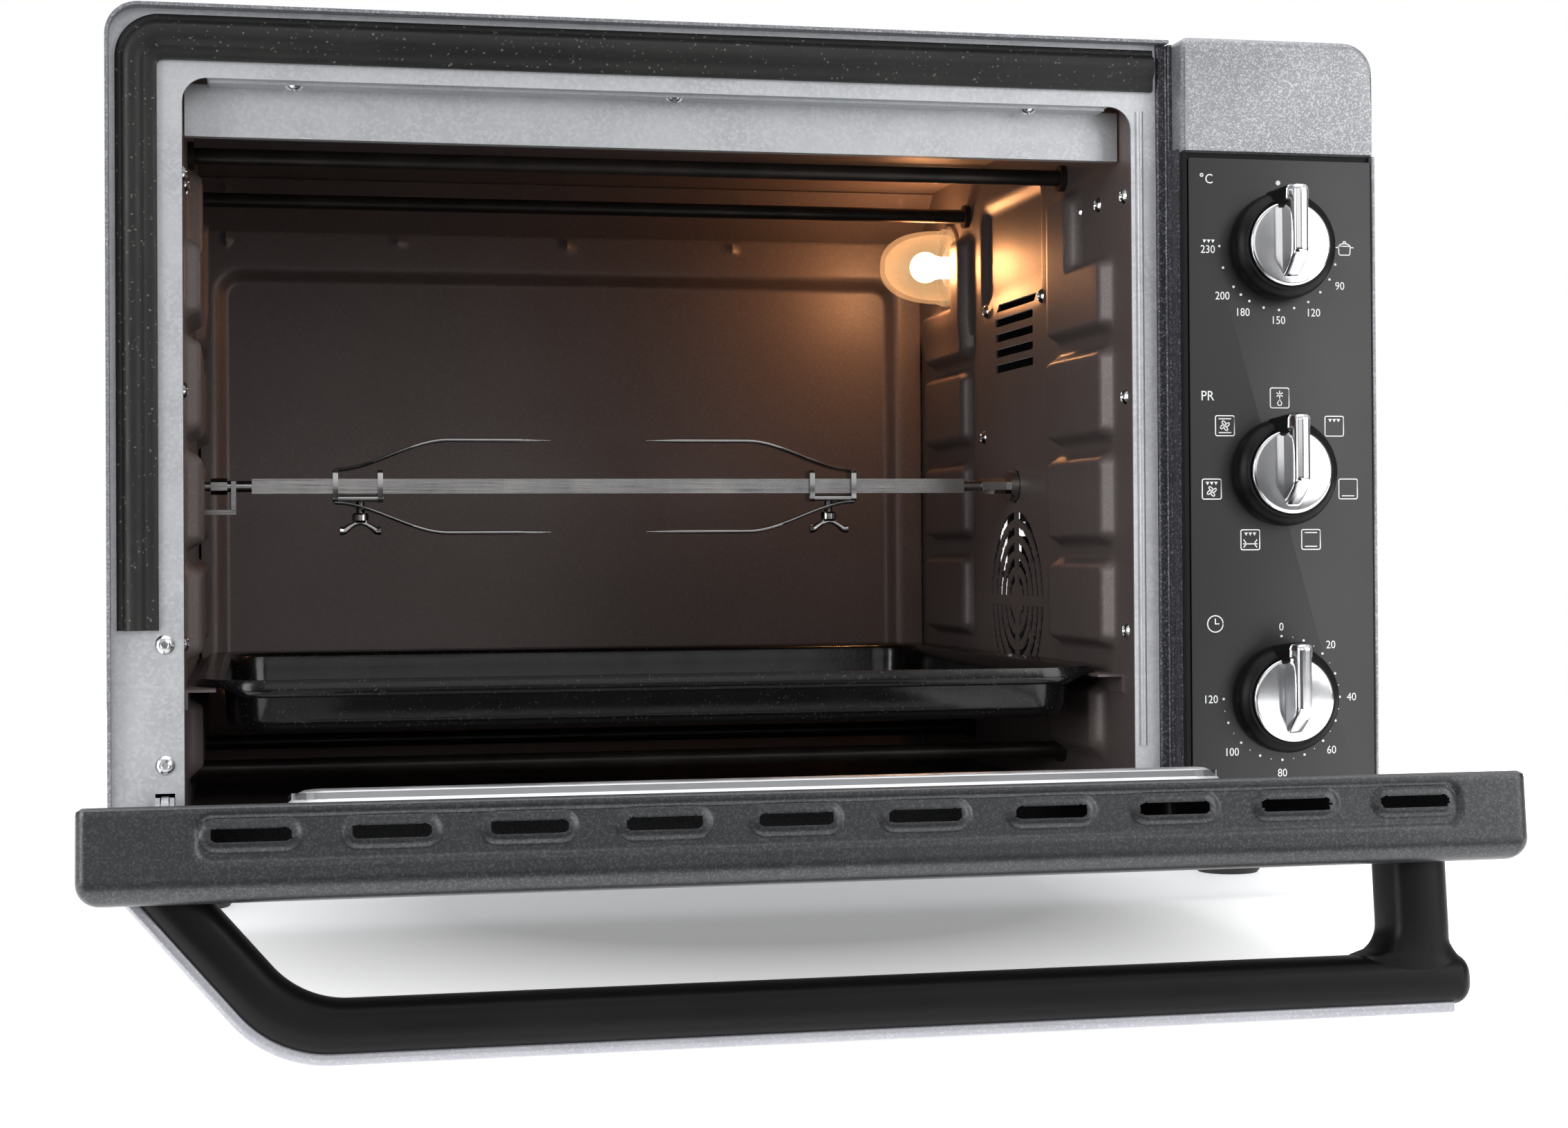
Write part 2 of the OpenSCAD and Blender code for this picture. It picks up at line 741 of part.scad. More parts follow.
// door outline seen from above: front corners rounded
module door_plan(g) {
  r = 6 - g;
  translate([door_l + g, door_out + r + g]) square([door_r - door_l - 2 * g, door_t - r - g]);
  translate([door_l + g + r, door_out + g]) square([door_r - door_l - 2 * g - 2 * r, r]);
  for (x = [door_l + g + r, door_r - g - r]) translate([x, door_out + g + r]) circle(r);
}

module door_frame() {
  color(c_paint) ajar() {
    difference() {
      translate([0, 0, door_z0]) linear_extrude(door_z1 - door_z0) door_plan(0);
      translate([0, 0, door_z0 + 1.2]) linear_extrude(door_z1 - door_z0 - 2.4) door_plan(1.2);
      bx([door_l + 1.2, door_in - 3, door_z0 + 1.2], [door_r - 1.2, door_in + 1, door_z1 - 1.2]);
      deep(door_out - 1, door_out + 2) rr([46, 84], [365.6, 262], 8);
      // vent slots and the shallow band around them
      for (i = [0 : slot_count - 1])
        translate([50.6 + i * 35.44, 0, door_z1 - 3]) linear_extrude(5)
          rr([-10.3, -14.6], [10.3, -11], 1.79);
      bx([36, -19.8, door_z1 - 0.4], [384, -7.8, door_z1 + 1]);
    }
  }
}

module door_glass_outer() {
  color([0.1, 0.1, 0.12, 0.35]) ajar() bx([38, door_out + 1.2, 76], [373.6, door_out + 5.2, 270]);
}

module door_inner_panel() {
  color(c_steel) ajar() {
    difference() {
      bx([door_l + 1.2, door_in - 1.2, door_z0 + 1.2], [door_r - 1.2, door_in, door_z1 - 1.2]);
      deep(door_in - 2, door_in + 1) rr([62, 66], [347.6, 247.8], 10);
    }
    difference() {
      deep(door_in, -0.2) rr([60.5, 64.5], [349, 249.5], 12);
      deep(door_in - 1, -1.4) rr([61.7, 65.7], [347.8, 248.3], 10.8);
      deep(-2, 1) rr([76, 80], [333.6, 234], 6);
    }
  }
}

module door_glass_inner() {
  color([0.2, 0.2, 0.22, 0.35]) ajar() deep(-4.9, -1.4) rr([62, 66], [347.5, 248], 10.4);
}

// points of a quarter-like bend about a centre, from angle a to angle b
function bend(cx, cy, r, a, b) =
  [for (i = [0 : 8]) [cx + r * cos(a + (b - a) * i / 8), cy + r * sin(a + (b - a) * i / 8)]];

// the bar stands off the door's face: y positions of its inner and outer faces
bar_in = door_out - handle_out + 14.8;
bar_out = door_out - handle_out;
// lower face of the handle
handle_z = door_z1 - 9.8 - handle_h;

module door_handle() {
  color(c_black) ajar() translate([0, 0, handle_z]) linear_extrude(handle_h)
    polygon(concat([[20.4, door_out], [40.4, door_out], [40.6, door_out - 5.4]],
      bend(69, bar_in + 12, 12, 228, 270),
      bend(358, bar_in + 8.8, 8.8, 270, 360),
      [[366.8, door_out], [385.6, door_out], [385.9, bar_in + 2.6]],
      [[390.8, bar_in - 4.6], [391, bar_out + 2.2], [389.4, bar_out]],
      bend(71, bar_out + 32, 32, 270, 221)));
}

module door_handle_trim() {
  color(c_silver) ajar() translate([0, 0, handle_z + 1.5]) linear_extrude(handle_h - 3)
    polygon(concat([[384.6, bar_out], [384.6, bar_out - 2.2]],
      bend(71, bar_out + 32, 34.2, 270, 221), [[17.5, door_out], [20.4, door_out]],
      bend(71, bar_out + 32, 32, 221, 270)));
}

// ---------------------------------------------------------------- selection

outer_shell();
back_cover();
base_plate();
front_feet();
rear_feet();
cavity_front_frame();
cavity_left_wall();
cavity_right_wall();
cavity_back_wall();
cavity_ceiling();
cavity_floor();
door_gasket();
top_reflector();
reflector_screws();
frame_rivets();
wall_screws();
upper_element_front();
upper_element_rear();
lower_element_front();
lower_element_rear();
lamp_socket();
lamp_bulb();
lamp_cover();
spit_support();
tray_guides();
spit_motor();
fan_motor();
fan_blade();
console_cap();
console_column();
console_chassis();
control_fascia();
thermostat();
function_switch();
timer();
thermostat_knob_base();
thermostat_knob_cap();
function_knob_base();
function_knob_cap();
timer_knob_base();
timer_knob_cap();
hinge_bracket_left();
hinge_bracket_right();
hinge_knuckle_left();
hinge_knuckle_right();
door_frame();
door_glass_outer();
door_inner_panel();
door_glass_inner();
door_handle();
door_handle_trim();
drip_tray();
spit_rod();
spit_fork_left();
spit_fork_right();
fork_screw_left();
fork_screw_right();
drive_socket();
cord_gland();
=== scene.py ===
"""A benchtop rotisserie oven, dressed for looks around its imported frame.

Every shape is worked out in millimetres in the case's own coordinates: x runs from the case's
left side, y from the plane of the cavity mouth with the front negative, and z up from the
worktop. Door pieces are worked out with the door shut and then swung open about the hinge line.
"""

import logging
import math
from dataclasses import dataclass, field
from enum import Enum
from typing import Callable, Sequence

import bmesh
import bpy
import numpy as np
from mathutils import Matrix, Vector


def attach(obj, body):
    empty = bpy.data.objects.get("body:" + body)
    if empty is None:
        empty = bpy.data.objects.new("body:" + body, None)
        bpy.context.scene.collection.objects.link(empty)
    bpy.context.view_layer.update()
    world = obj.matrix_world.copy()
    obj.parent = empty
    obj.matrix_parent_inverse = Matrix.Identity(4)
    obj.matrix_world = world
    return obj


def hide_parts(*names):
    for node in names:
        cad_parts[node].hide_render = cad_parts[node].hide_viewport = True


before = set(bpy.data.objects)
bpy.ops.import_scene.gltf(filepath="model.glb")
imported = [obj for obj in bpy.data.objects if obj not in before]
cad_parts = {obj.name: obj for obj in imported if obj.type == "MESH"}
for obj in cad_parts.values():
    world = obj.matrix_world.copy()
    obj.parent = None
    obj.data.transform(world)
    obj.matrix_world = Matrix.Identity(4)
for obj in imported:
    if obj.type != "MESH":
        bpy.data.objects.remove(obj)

logging.basicConfig(level=logging.INFO, format="%(message)s")
log = logging.getLogger("oven")

Array = np.ndarray
Colour = tuple[float, float, float]

CASE_CENTRE = np.array([242.75, 41.5, 0.0])
HINGE = (-2.5, 46.1)
DOOR_ANGLE = 84.0
MERGE_DISTANCE = 2e-6
SHEET = 0.9
INK = 0.08
LAMP = (389.6, 268.5, 277.0)
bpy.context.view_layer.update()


# ------------------------------------------------------------------ shapes


@dataclass
class Surface:
    """Points in millimetres and the blocks of faces, one index row per face, that join them."""

    points: Array
    blocks: list[Array]

    def moved(self, change: Callable[[Array], Array]) -> "Surface":
        """The same faces on points that change has moved."""
        return Surface(change(self.points), self.blocks)


def joined(parts: Sequence[Surface]) -> Surface:
    """Several surfaces as one, each with its face numbers shifted past those before it.

    Args:
        parts: The surfaces, in order.

    Returns:
        One surface that holds them all.
    """
    starts = np.cumsum([0] + [len(p.points) for p in parts])
    blocks = [b + s for p, s in zip(parts, starts) for b in p.blocks]
    return Surface(np.vstack([p.points for p in parts]), blocks)


def row(points: Array) -> Array:
    """Case millimetres to the shared frame's metres: shift the centre to zero, divide by 1000."""
    return (np.asarray(points, float) - CASE_CENTRE) * 0.001


def swung(points: Array, degrees: float = DOOR_ANGLE) -> Array:
    """Turns shut-door points about the hinge line, which runs along x.

    Args:
        points: Rows of x, y, z with the door shut.
        degrees: How far the door has swung down.

    Returns:
        The points y' = hy + dy cos a - dz sin a, z' = hz + dy sin a + dz cos a.
    """
    a = math.radians(degrees)
    dy, dz = points[..., 1] - HINGE[0], points[..., 2] - HINGE[1]
    y = HINGE[0] + dy * math.cos(a) - dz * math.sin(a)
    z = HINGE[1] + dy * math.sin(a) + dz * math.cos(a)
    return np.stack([points[..., 0], y, z], -1)


def lattice(rows: int, cols: int, wrap: bool = False) -> Array:
    """Quads of a rows by cols grid of points, whose last column meets the first if wrap is set.

    Args:
        rows: Rows of points.
        cols: Points in each row.
        wrap: Whether the last column meets the first.

    Returns:
        One row of four point numbers per cell.
    """
    i = np.arange(rows - 1)[:, None]
    j = np.arange(cols if wrap else cols - 1)[None]
    a, b = i * cols + j, i * cols + (j + 1) % cols
    return np.stack([a, b, b + cols, a + cols], -1).reshape(-1, 4)


def lofted(rings: Array, ends: bool = True) -> Surface:
    """A skin through closed rings of equal count, with a flat face over each end ring.

    Args:
        rings: Array of ring, point, coordinate.
        ends: Whether the first and last rings are closed.

    Returns:
        The surface.
    """
    k, n, _ = rings.shape
    blocks = [lattice(k, n, wrap=True)]
    if ends:
        blocks += [np.arange(n)[None, ::-1], (k - 1) * n + np.arange(n)[None]]
    return Surface(rings.reshape(-1, 3), blocks)


def sheet(points: Array, keep: Array, thickness: float, wrap: bool = False) -> Surface:
    """A closed sheet of even thickness over a grid, with openings where cells are left out.

    The second face lies at each point less thickness times the grid's unit normal, the cross
    product of the two grid directions. A rim of quads joins the faces along every free edge.

    Args:
        points: Grid of row, column, coordinate.
        keep: One true or false per cell.
        thickness: Wall in millimetres, negative to thicken the other way.
        wrap: Whether the last column meets the first.

    Returns:
        The closed surface.
    """
    rows, cols, _ = points.shape
    along = np.gradient(points, axis=0)
    if wrap:
        across = np.roll(points, -1, 1) - np.roll(points, 1, 1)
    else:
        across = np.gradient(points, axis=1)
    normal = np.cross(along, across)
    normal /= np.maximum(np.linalg.norm(normal, axis=-1, keepdims=True), 1e-9)
    total = rows * cols
    both = np.vstack([points.reshape(-1, 3), (points - normal * thickness).reshape(-1, 3)])
    quads = lattice(rows, cols, wrap)[keep.ravel()]
    start, stop = quads, np.roll(quads, -1, axis=1)
    free = ~np.isin(start * total + stop, stop * total + start)
    a, b = start[free], stop[free]
    rim = np.stack([b, a, a + total, b + total], -1)
    faces = np.vstack([quads, quads[:, ::-1] + total, rim])
    used = np.unique(faces)
    return Surface(both[used], [np.searchsorted(used, faces)])


def rounded_loop(
    u0: float, v0: float, u1: float, v1: float, radii: float | Sequence[float], steps: int = 6
) -> Array:
    """Rounded rectangle as a ring of points, anticlockwise from its right side's upper end.

    Args:
        u0: Left side.
        v0: Lower side.
        u1: Right side.
        v1: Upper side.
        radii: One corner radius, or four from the upper right round to the lower right.
        steps: Spaces in each quarter turn.

    Returns:
        Four times steps + 1 rows of u, v: corner centre plus radius times cosine and sine.
    """
    r = np.broadcast_to(np.asarray(radii, float), 4)
    cu = np.array([u1 - r[0], u0 + r[1], u0 + r[2], u1 - r[3]])
    cv = np.array([v1 - r[0], v1 - r[1], v0 + r[2], v0 + r[3]])
    a = np.radians(np.arange(4)[:, None] * 90 + np.linspace(0, 90, steps + 1)[None])
    u, v = cu[:, None] + r[:, None] * np.cos(a), cv[:, None] + r[:, None] * np.sin(a)
    return np.stack([u, v], -1).reshape(-1, 2)


def framed(box: Sequence[float], radius: float, profile: Array, steps: int = 6) -> Array:
    """Rings of a profile carried round a rounded rectangle.

    Args:
        box: u0, v0, u1, v1 of the outermost ring.
        radius: Its corner radius, which shrinks with the inset.
        profile: Rows of inset from the box and level.
        steps: Spaces in each corner.

    Returns:
        Rings of u, v, level.
    """
    rings = [
        np.column_stack([
            rounded_loop(box[0] + i, box[1] + i, box[2] - i, box[3] - i,
                         max(radius - i, 0.4), steps),
            np.full(4 * (steps + 1), level),
        ])
        for i, level in profile
    ]
    return np.stack(rings)


def revolved(
    profile: Array, centre: Sequence[float], axis: Sequence[float], count: int = 48,
    ends: bool = False,
) -> Surface:
    """A profile of radius and height turned about an axis through centre.

    Args:
        profile: Rows of radius and height.
        centre: Point where height is zero.
        axis: Direction of rising height.
        count: Points in each ring.
        ends: Whether flat faces close the first and last rings.

    Returns:
        Rings at centre + height axis + radius (cos t, sin t) across it.
    """
    w = np.array(axis, float) / np.linalg.norm(axis)
    u = np.cross(w, [0.0, 0.0, 1.0] if abs(w[2]) < 0.9 else [0.0, 1.0, 0.0])
    u /= np.linalg.norm(u)
    v = np.cross(w, u)
    t = np.linspace(0, 2 * math.pi, count, endpoint=False)
    spoke = np.cos(t)[:, None] * u + np.sin(t)[:, None] * v
    p = np.asarray(profile, float)
    rings = np.array(centre) + p[:, 1, None, None] * w + p[:, 0, None, None] * spoke
    return lofted(rings, ends)


def swept(path: Array, section: Array, up: Sequence[float] = (0, 0, 1)) -> Surface:
    """A closed section carried along a path.

    Args:
        path: Rows of x, y, z.
        section: Rows of across and up, or one such ring for each point of the path.
        up: Direction that stays up, which no part of the path may follow.

    Returns:
        Rings at path + across side + up rise, with side the tangent crossed with up.
    """
    tangent = np.gradient(path, axis=0)
    tangent /= np.linalg.norm(tangent, axis=1, keepdims=True)
    side = np.cross(tangent, np.array(up, float))
    side /= np.linalg.norm(side, axis=1, keepdims=True)
    rise = np.cross(side, tangent)
    ring = np.broadcast_to(section, (len(path),) + section.shape[-2:])
    points = path[:, None] + ring[..., :1] * side[:, None] + ring[..., 1:] * rise[:, None]
    return lofted(points)


def squircle(half_u: float, half_v: float, power: float, count: int = 40) -> Array:
    """Ring of a superellipse: cosine and sine each raised to 2 / power, keeping their signs.

    Args:
        half_u: Half width.
        half_v: Half height.
        power: Two for an ellipse, more for squarer corners.
        count: Points in the ring.

    Returns:
        Rows of u, v.
    """
    t = np.linspace(0, 2 * math.pi, count, endpoint=False)
    c, s = np.cos(t), np.sin(t)
    k = 2 / power
    return np.stack([
        half_u * np.sign(c) * np.abs(c) ** k, half_v * np.sign(s) * np.abs(s) ** k], -1)


def box_distance(
    u: Array, v: Array, u0: float, v0: float, u1: float, v1: float, r: float
) -> Array:
    """Distance to a rounded rectangle's outline, negative inside: the usual box distance of the
    point to a rectangle shrunk by r, less r.

    Args:
        u: First coordinates.
        v: Second coordinates.
        u0: Left side.
        v0: Lower side.
        u1: Right side.
        v1: Upper side.
        r: Corner radius.

    Returns:
        One distance per point.
    """
    qu = np.abs(u - (u0 + u1) / 2) - (u1 - u0) / 2 + r
    qv = np.abs(v - (v0 + v1) / 2) - (v1 - v0) / 2 + r
    outside = np.hypot(np.maximum(qu, 0), np.maximum(qv, 0))
    return outside + np.minimum(np.maximum(qu, qv), 0) - r


def eased(t: Array) -> Array:
    """Smooth step 3t² - 2t³ of t held between 0 and 1."""
    t = np.clip(t, 0, 1)
    return t * t * (3 - 2 * t)


def snapped(
    u: Array, v: Array, distance: Callable[[Array, Array], Array], reach: float
) -> tuple[Array, Array]:
    """Slides grid points that lie near an opening's outline onto it.

    A point moves by its distance times the outline's unit gradient, found from two small steps.

    Args:
        u: First coordinate of the grid.
        v: Second coordinate of the grid.
        distance: Distance to the openings' outline, negative inside them.
        reach: Greatest move.

    Returns:
        The moved coordinates.
    """
    e = 0.02
    d = distance(u, v)
    gu = (distance(u + e, v) - distance(u - e, v)) / (2 * e)
    gv = (distance(u, v + e) - distance(u, v - e)) / (2 * e)
    size = np.maximum(np.hypot(gu, gv), 1e-6)
    step = np.where(np.abs(d) < reach, -d / size, 0.0)
    return u + step * gu / size, v + step * gv / size


def centres(grid: Array) -> Array:
    """Mean of each cell's four corners."""
    return (grid[:-1, :-1] + grid[1:, :-1] + grid[:-1, 1:] + grid[1:, 1:]) / 4


def spaced(*stops: tuple[float, float]) -> Array:
    """Grid lines through stops of (place, spacing up to the next stop).

    Args:
        *stops: Place and spacing of each stretch, then the last place with any spacing.

    Returns:
        The places of the lines, rising.
    """
    parts = [
        np.linspace(a, b, max(2, int(round((b - a) / gap)) + 1))[:-1]
        for (a, gap), (b, _) in zip(stops[:-1], stops[1:])
    ]
    return np.append(np.concatenate(parts), stops[-1][0])


# ------------------------------------------------------------------ finishes


class Grain(Enum):
    """How a finish's fine relief runs."""

    EVEN = (1.0, 1.0, 1.0)
    BRUSHED_X = (0.04, 1.0, 1.0)


def set_range(node: bpy.types.Node, *limits: float) -> None:
    """Sets a map-range node's from-low, from-high, to-low and to-high."""
    for name, number in zip(("From Min", "From Max", "To Min", "To Max"), limits):
        node.inputs[name].default_value = number


class Tree:
    """Node tree of one material, with short calls that add and link its nodes."""

    def __init__(self, name: str) -> None:
        """Starts a tree that holds a principled shader joined to the output.

        Args:
            name: The material's name.
        """
        self.material = bpy.data.materials.new(name)
        self.material.use_nodes = True
        self.nodes = self.material.node_tree.nodes
        self.links = self.material.node_tree.links
        self.nodes.clear()
        self.output = self.nodes.new("ShaderNodeOutputMaterial")
        self.shader = self.nodes.new("ShaderNodeBsdfPrincipled")
        self.links.new(self.shader.outputs[0], self.output.inputs[0])
        self.place = self.nodes.new("ShaderNodeTexCoord").outputs["Object"]

    def stretched(self, scale: Sequence[float]) -> bpy.types.NodeSocket:
        """Object coordinates multiplied by scale.

        Args:
            scale: Factor along each axis.

        Returns:
            The socket of the scaled place.
        """
        node = self.nodes.new("ShaderNodeMapping")
        node.inputs["Scale"].default_value = scale
        self.links.new(self.place, node.inputs["Vector"])
        return node.outputs[0]

    def noise(
        self, scale: float, detail: float = 3.0, stretch: Sequence[float] = (1, 1, 1)
    ) -> bpy.types.NodeSocket:
        """Cloudy value between 0 and 1.

        Args:
            scale: Clouds per metre.
            detail: Finer layers that are added.
            stretch: Factor along each axis.

        Returns:
            The socket of the value.
        """
        node = self.nodes.new("ShaderNodeTexNoise")
        node.inputs["Scale"].default_value = scale
        node.inputs["Detail"].default_value = detail
        self.links.new(self.stretched(stretch), node.inputs["Vector"])
        return node.outputs["Fac"]

    def cells(self, scale: float) -> bpy.types.NodeSocket:
        """One random value for each small cell.

        Args:
            scale: Cells per metre.

        Returns:
            The socket of the value.
        """
        node = self.nodes.new("ShaderNodeTexVoronoi")
        node.inputs["Scale"].default_value = scale
        self.links.new(self.place, node.inputs["Vector"])
        split = self.nodes.new("ShaderNodeSeparateColor")
        self.links.new(node.outputs["Color"], split.inputs[0])
        return split.outputs[0]

    def spread(
        self, value: bpy.types.NodeSocket, low: float, high: float, to_low: float = 0.0,
        to_high: float = 1.0,
    ) -> bpy.types.NodeSocket:
        """Maps low..high to to_low..to_high, held at both ends.

        Args:
            value: Socket to map.
            low: Value that becomes to_low.
            high: Value that becomes to_high.
            to_low: First result.
            to_high: Last result.

        Returns:
            The socket of the mapped value.
        """
        node = self.nodes.new("ShaderNodeMapRange")
        set_range(node, low, high, to_low, to_high)
        self.links.new(value, node.inputs["Value"])
        return node.outputs[0]

    def mixed(self, factor: bpy.types.NodeSocket, a: object, b: object) -> bpy.types.NodeSocket:
        """Colour a where factor is 0, and b where it is 1; each is a colour or a socket.

        Args:
            factor: Socket of the share of b.
            a: First colour.
            b: Second colour.

        Returns:
            The socket of the mixed colour.
        """
        node = self.nodes.new("ShaderNodeMix")
        node.data_type = "RGBA"
        self.links.new(factor, node.inputs[0])
        for socket, value in ((node.inputs[6], a), (node.inputs[7], b)):
            if isinstance(value, tuple):
                socket.default_value = (*value, 1.0)
            else:
                self.links.new(value, socket)
        return node.outputs[2]

    def relief(self, height: bpy.types.NodeSocket, depth: float, strength: float = 1.0) -> None:
        """Bump of that depth in metres, added over any bump already joined.

        Args:
            height: Socket of the height.
            depth: Height in metres that 1 stands for.
            strength: Share of the bump that shows.
        """
        node = self.nodes.new("ShaderNodeBump")
        node.inputs["Strength"].default_value = strength
        node.inputs["Distance"].default_value = depth
        self.links.new(height, node.inputs["Height"])
        normal = self.shader.inputs["Normal"]
        if normal.is_linked:
            self.links.new(normal.links[0].from_socket, node.inputs["Normal"])
        self.links.new(node.outputs[0], normal)

    def constant(self, **values: float | tuple) -> None:
        """Sets the shader's own sockets; an underscore in a name stands for a space."""
        for name, value in values.items():
            self.shader.inputs[name.replace("_", " ")].default_value = value


@dataclass(frozen=True)
class Finish:
    """A surface finish: a colour that drifts to a second one, small flecks, uneven gloss and a
    fine relief. Sizes are per metre, depths in metres."""

    name: str
    slot: str
    colour: Colour
    second: Colour
    metallic: float = 0.0
    gloss: tuple[float, float] = (0.4, 0.5)
    drift: float = 14.0
    fleck: Colour | None = None
    fleck_scale: float = 1800.0
    fleck_share: float = 0.25
    grain: Grain = Grain.EVEN
    grain_scale: float = 900.0
    grain_depth: float = 0.00002
    ripple_scale: float = 30.0
    ripple_depth: float = 0.0
    constants: dict[str, float | tuple] = field(default_factory=dict)

    def material(self) -> bpy.types.Material:
        """The finish's node material, made once and then shared.

        Returns:
            The material.
        """
        if self.name in bpy.data.materials:
            return bpy.data.materials[self.name]
        tree = Tree(self.name)
        drift = tree.spread(tree.noise(self.drift, 4.0), 0.35, 0.65)
        base = tree.mixed(drift, self.colour, self.second)
        if self.fleck:
            cell = tree.cells(self.fleck_scale)
            share = tree.spread(cell, 1 - self.fleck_share, 1.0)
            base = tree.mixed(share, base, self.fleck)
        tree.links.new(base, tree.shader.inputs["Base Color"])
        rough = tree.spread(tree.noise(self.drift * 2.3, 5.0), 0.3, 0.7, *self.gloss)
        tree.links.new(rough, tree.shader.inputs["Roughness"])
        if self.grain_depth:
            tree.relief(tree.noise(self.grain_scale, 2.0, self.grain.value), self.grain_depth)
        if self.ripple_depth:
            tree.relief(tree.noise(self.ripple_scale, 1.0), self.ripple_depth)
        tree.constant(Metallic=self.metallic, **self.constants)
        return tree.material


SILVER_SPARKLE = Finish(
    "sparkle silver paint", "case_paint", (0.20, 0.205, 0.22), (0.23, 0.235, 0.25),
    metallic=0.7, gloss=(0.5, 0.58), fleck=(0.42, 0.43, 0.46), fleck_scale=1900,
    fleck_share=0.5, grain_scale=1500, grain_depth=0.00003,
    constants={"Coat Weight": 0.1, "Coat Roughness": 0.25})
CAP_SILVER = Finish(
    "sparkle silver plastic", "silver_plastic", (0.25, 0.253, 0.265), (0.29, 0.293, 0.305),
    metallic=0.6, gloss=(0.42, 0.52), fleck=(0.5, 0.51, 0.54), fleck_scale=1900,
    fleck_share=0.5, grain_scale=1500, grain_depth=0.00003,
    constants={"Coat Weight": 0.3, "Coat Roughness": 0.2})
COLUMN_GREY = Finish(
    "anthracite sparkle plastic", "dark_plastic", (0.035, 0.035, 0.042), (0.045, 0.045, 0.052),
    metallic=0.4, gloss=(0.38, 0.5), fleck=(0.2, 0.2, 0.23), fleck_scale=1900,
    fleck_share=0.3, grain_scale=1500, grain_depth=0.00003)
DOOR_GREY = Finish(
    "graphite door paint", "door_paint", (0.032, 0.033, 0.036), (0.04, 0.041, 0.044),
    metallic=0.7, gloss=(0.36, 0.44), fleck=(0.075, 0.077, 0.082), fleck_scale=2100,
    fleck_share=0.5, grain_scale=1400, grain_depth=0.00003,
    constants={"Coat Weight": 0.5, "Coat Roughness": 0.3})
GALVANISED = Finish(
    "galvanised steel", "zinc_steel", (0.5, 0.51, 0.53), (0.56, 0.57, 0.59), metallic=0.85,
    gloss=(0.46, 0.56), drift=40, fleck=(0.6, 0.61, 0.63), fleck_scale=900, fleck_share=0.7,
    grain_scale=500, grain_depth=0.00003)
BRIGHT_STEEL = Finish(
    "bright rolled steel", "bright_steel", (0.66, 0.665, 0.68), (0.72, 0.725, 0.74), metallic=1.0,
    gloss=(0.3, 0.4), drift=30, grain=Grain.BRUSHED_X, grain_scale=900, grain_depth=0.00002)
COAT = Finish(
    "copper-brown non-stick coat", "cavity_coat", (0.125, 0.1, 0.096), (0.145, 0.118, 0.113),
    metallic=0.25, gloss=(0.45, 0.53), drift=9, fleck=(0.19, 0.165, 0.16), fleck_scale=2600,
    fleck_share=0.2, grain_scale=1300, grain_depth=0.00003, ripple_scale=40,
    ripple_depth=0.00012, constants={"Coat Weight": 0.25, "Coat Roughness": 0.34})
FOOT_RUBBER = Finish(
    "foot rubber", "foot_rubber", (0.018, 0.018, 0.018), (0.026, 0.026, 0.026),
    gloss=(0.6, 0.75), grain_scale=1200, grain_depth=0.00004)
SEAL_RUBBER = Finish(
    "dusty seal rubber", "seal_rubber", (0.007, 0.007, 0.007), (0.012, 0.012, 0.011),
    gloss=(0.42, 0.55), drift=30, fleck=(0.12, 0.115, 0.1), fleck_scale=1500, fleck_share=0.03,
    grain_scale=1000, grain_depth=0.00005, constants={"Specular IOR Level": 0.4})
SCREW_PLATE = Finish(
    "plated screw steel", "screw_plate", (0.72, 0.72, 0.73), (0.78, 0.78, 0.78), metallic=1.0,
    gloss=(0.14, 0.26), drift=120, grain_scale=900, grain_depth=0.00002)
TUBE_SHEATH = Finish(
    "oxidised tube sheath", "tube_sheath", (0.028, 0.024, 0.022), (0.05, 0.042, 0.036),
    metallic=0.6, gloss=(0.3, 0.45), drift=45, grain=Grain.BRUSHED_X, grain_scale=800,
    grain_depth=0.00003)
LAMP_METAL = Finish(
    "lamp socket metal", "lamp_metal", (0.6, 0.58, 0.55), (0.66, 0.64, 0.6), metallic=1.0,
    gloss=(0.25, 0.4), drift=60)
LAMP_GLOW = Finish(
    "glowing bulb glass", "lamp_glow", (1.0, 0.82, 0.55), (1.0, 0.9, 0.7), gloss=(0.1, 0.2),
    grain_depth=0.0,
    constants={"Emission Color": (1.0, 0.74, 0.44, 1.0), "Emission Strength": 8.0})
# Painted glow: the bell's amber emission stands in for the bulb's light shining in the glass.
LAMP_GLASS = Finish(
    "heat-proof lamp glass", "lamp_glass", (0.2, 0.15, 0.1), (0.26, 0.2, 0.14), gloss=(0.03, 0.08),
    ripple_scale=110, ripple_depth=0.0012, grain_depth=0.0,
    constants={"Alpha": 0.16, "Emission Color": (1.0, 0.62, 0.3, 1.0),
               "Emission Strength": 0.9, "IOR": 1.5})
SPIT_CHROME = Finish(
    "spit chrome", "spit_chrome", (0.4, 0.39, 0.39), (0.5, 0.49, 0.48), metallic=1.0,
    gloss=(0.12, 0.24), drift=50, grain=Grain.BRUSHED_X, grain_scale=700, grain_depth=0.00002)
MOTOR_STEEL = Finish(
    "motor housing steel", "motor_steel", (0.12, 0.12, 0.125), (0.16, 0.16, 0.165), metallic=0.9,
    gloss=(0.4, 0.55), drift=40, grain_scale=600)
DARK_PLASTIC = Finish(
    "satin black plastic", "dark_plastic", (0.003, 0.003, 0.0032), (0.0045, 0.0045, 0.0047),
    gloss=(0.34, 0.42), drift=20, grain_scale=1400, grain_depth=0.00003,
    constants={"Specular IOR Level": 0.16})
TRIM_SILVER = Finish(
    "silver trim", "silver_plastic", (0.34, 0.34, 0.37), (0.38, 0.38, 0.41), metallic=0.55,
    gloss=(0.3, 0.4), drift=30, fleck=(0.45, 0.45, 0.48), fleck_scale=2400, fleck_share=0.3)
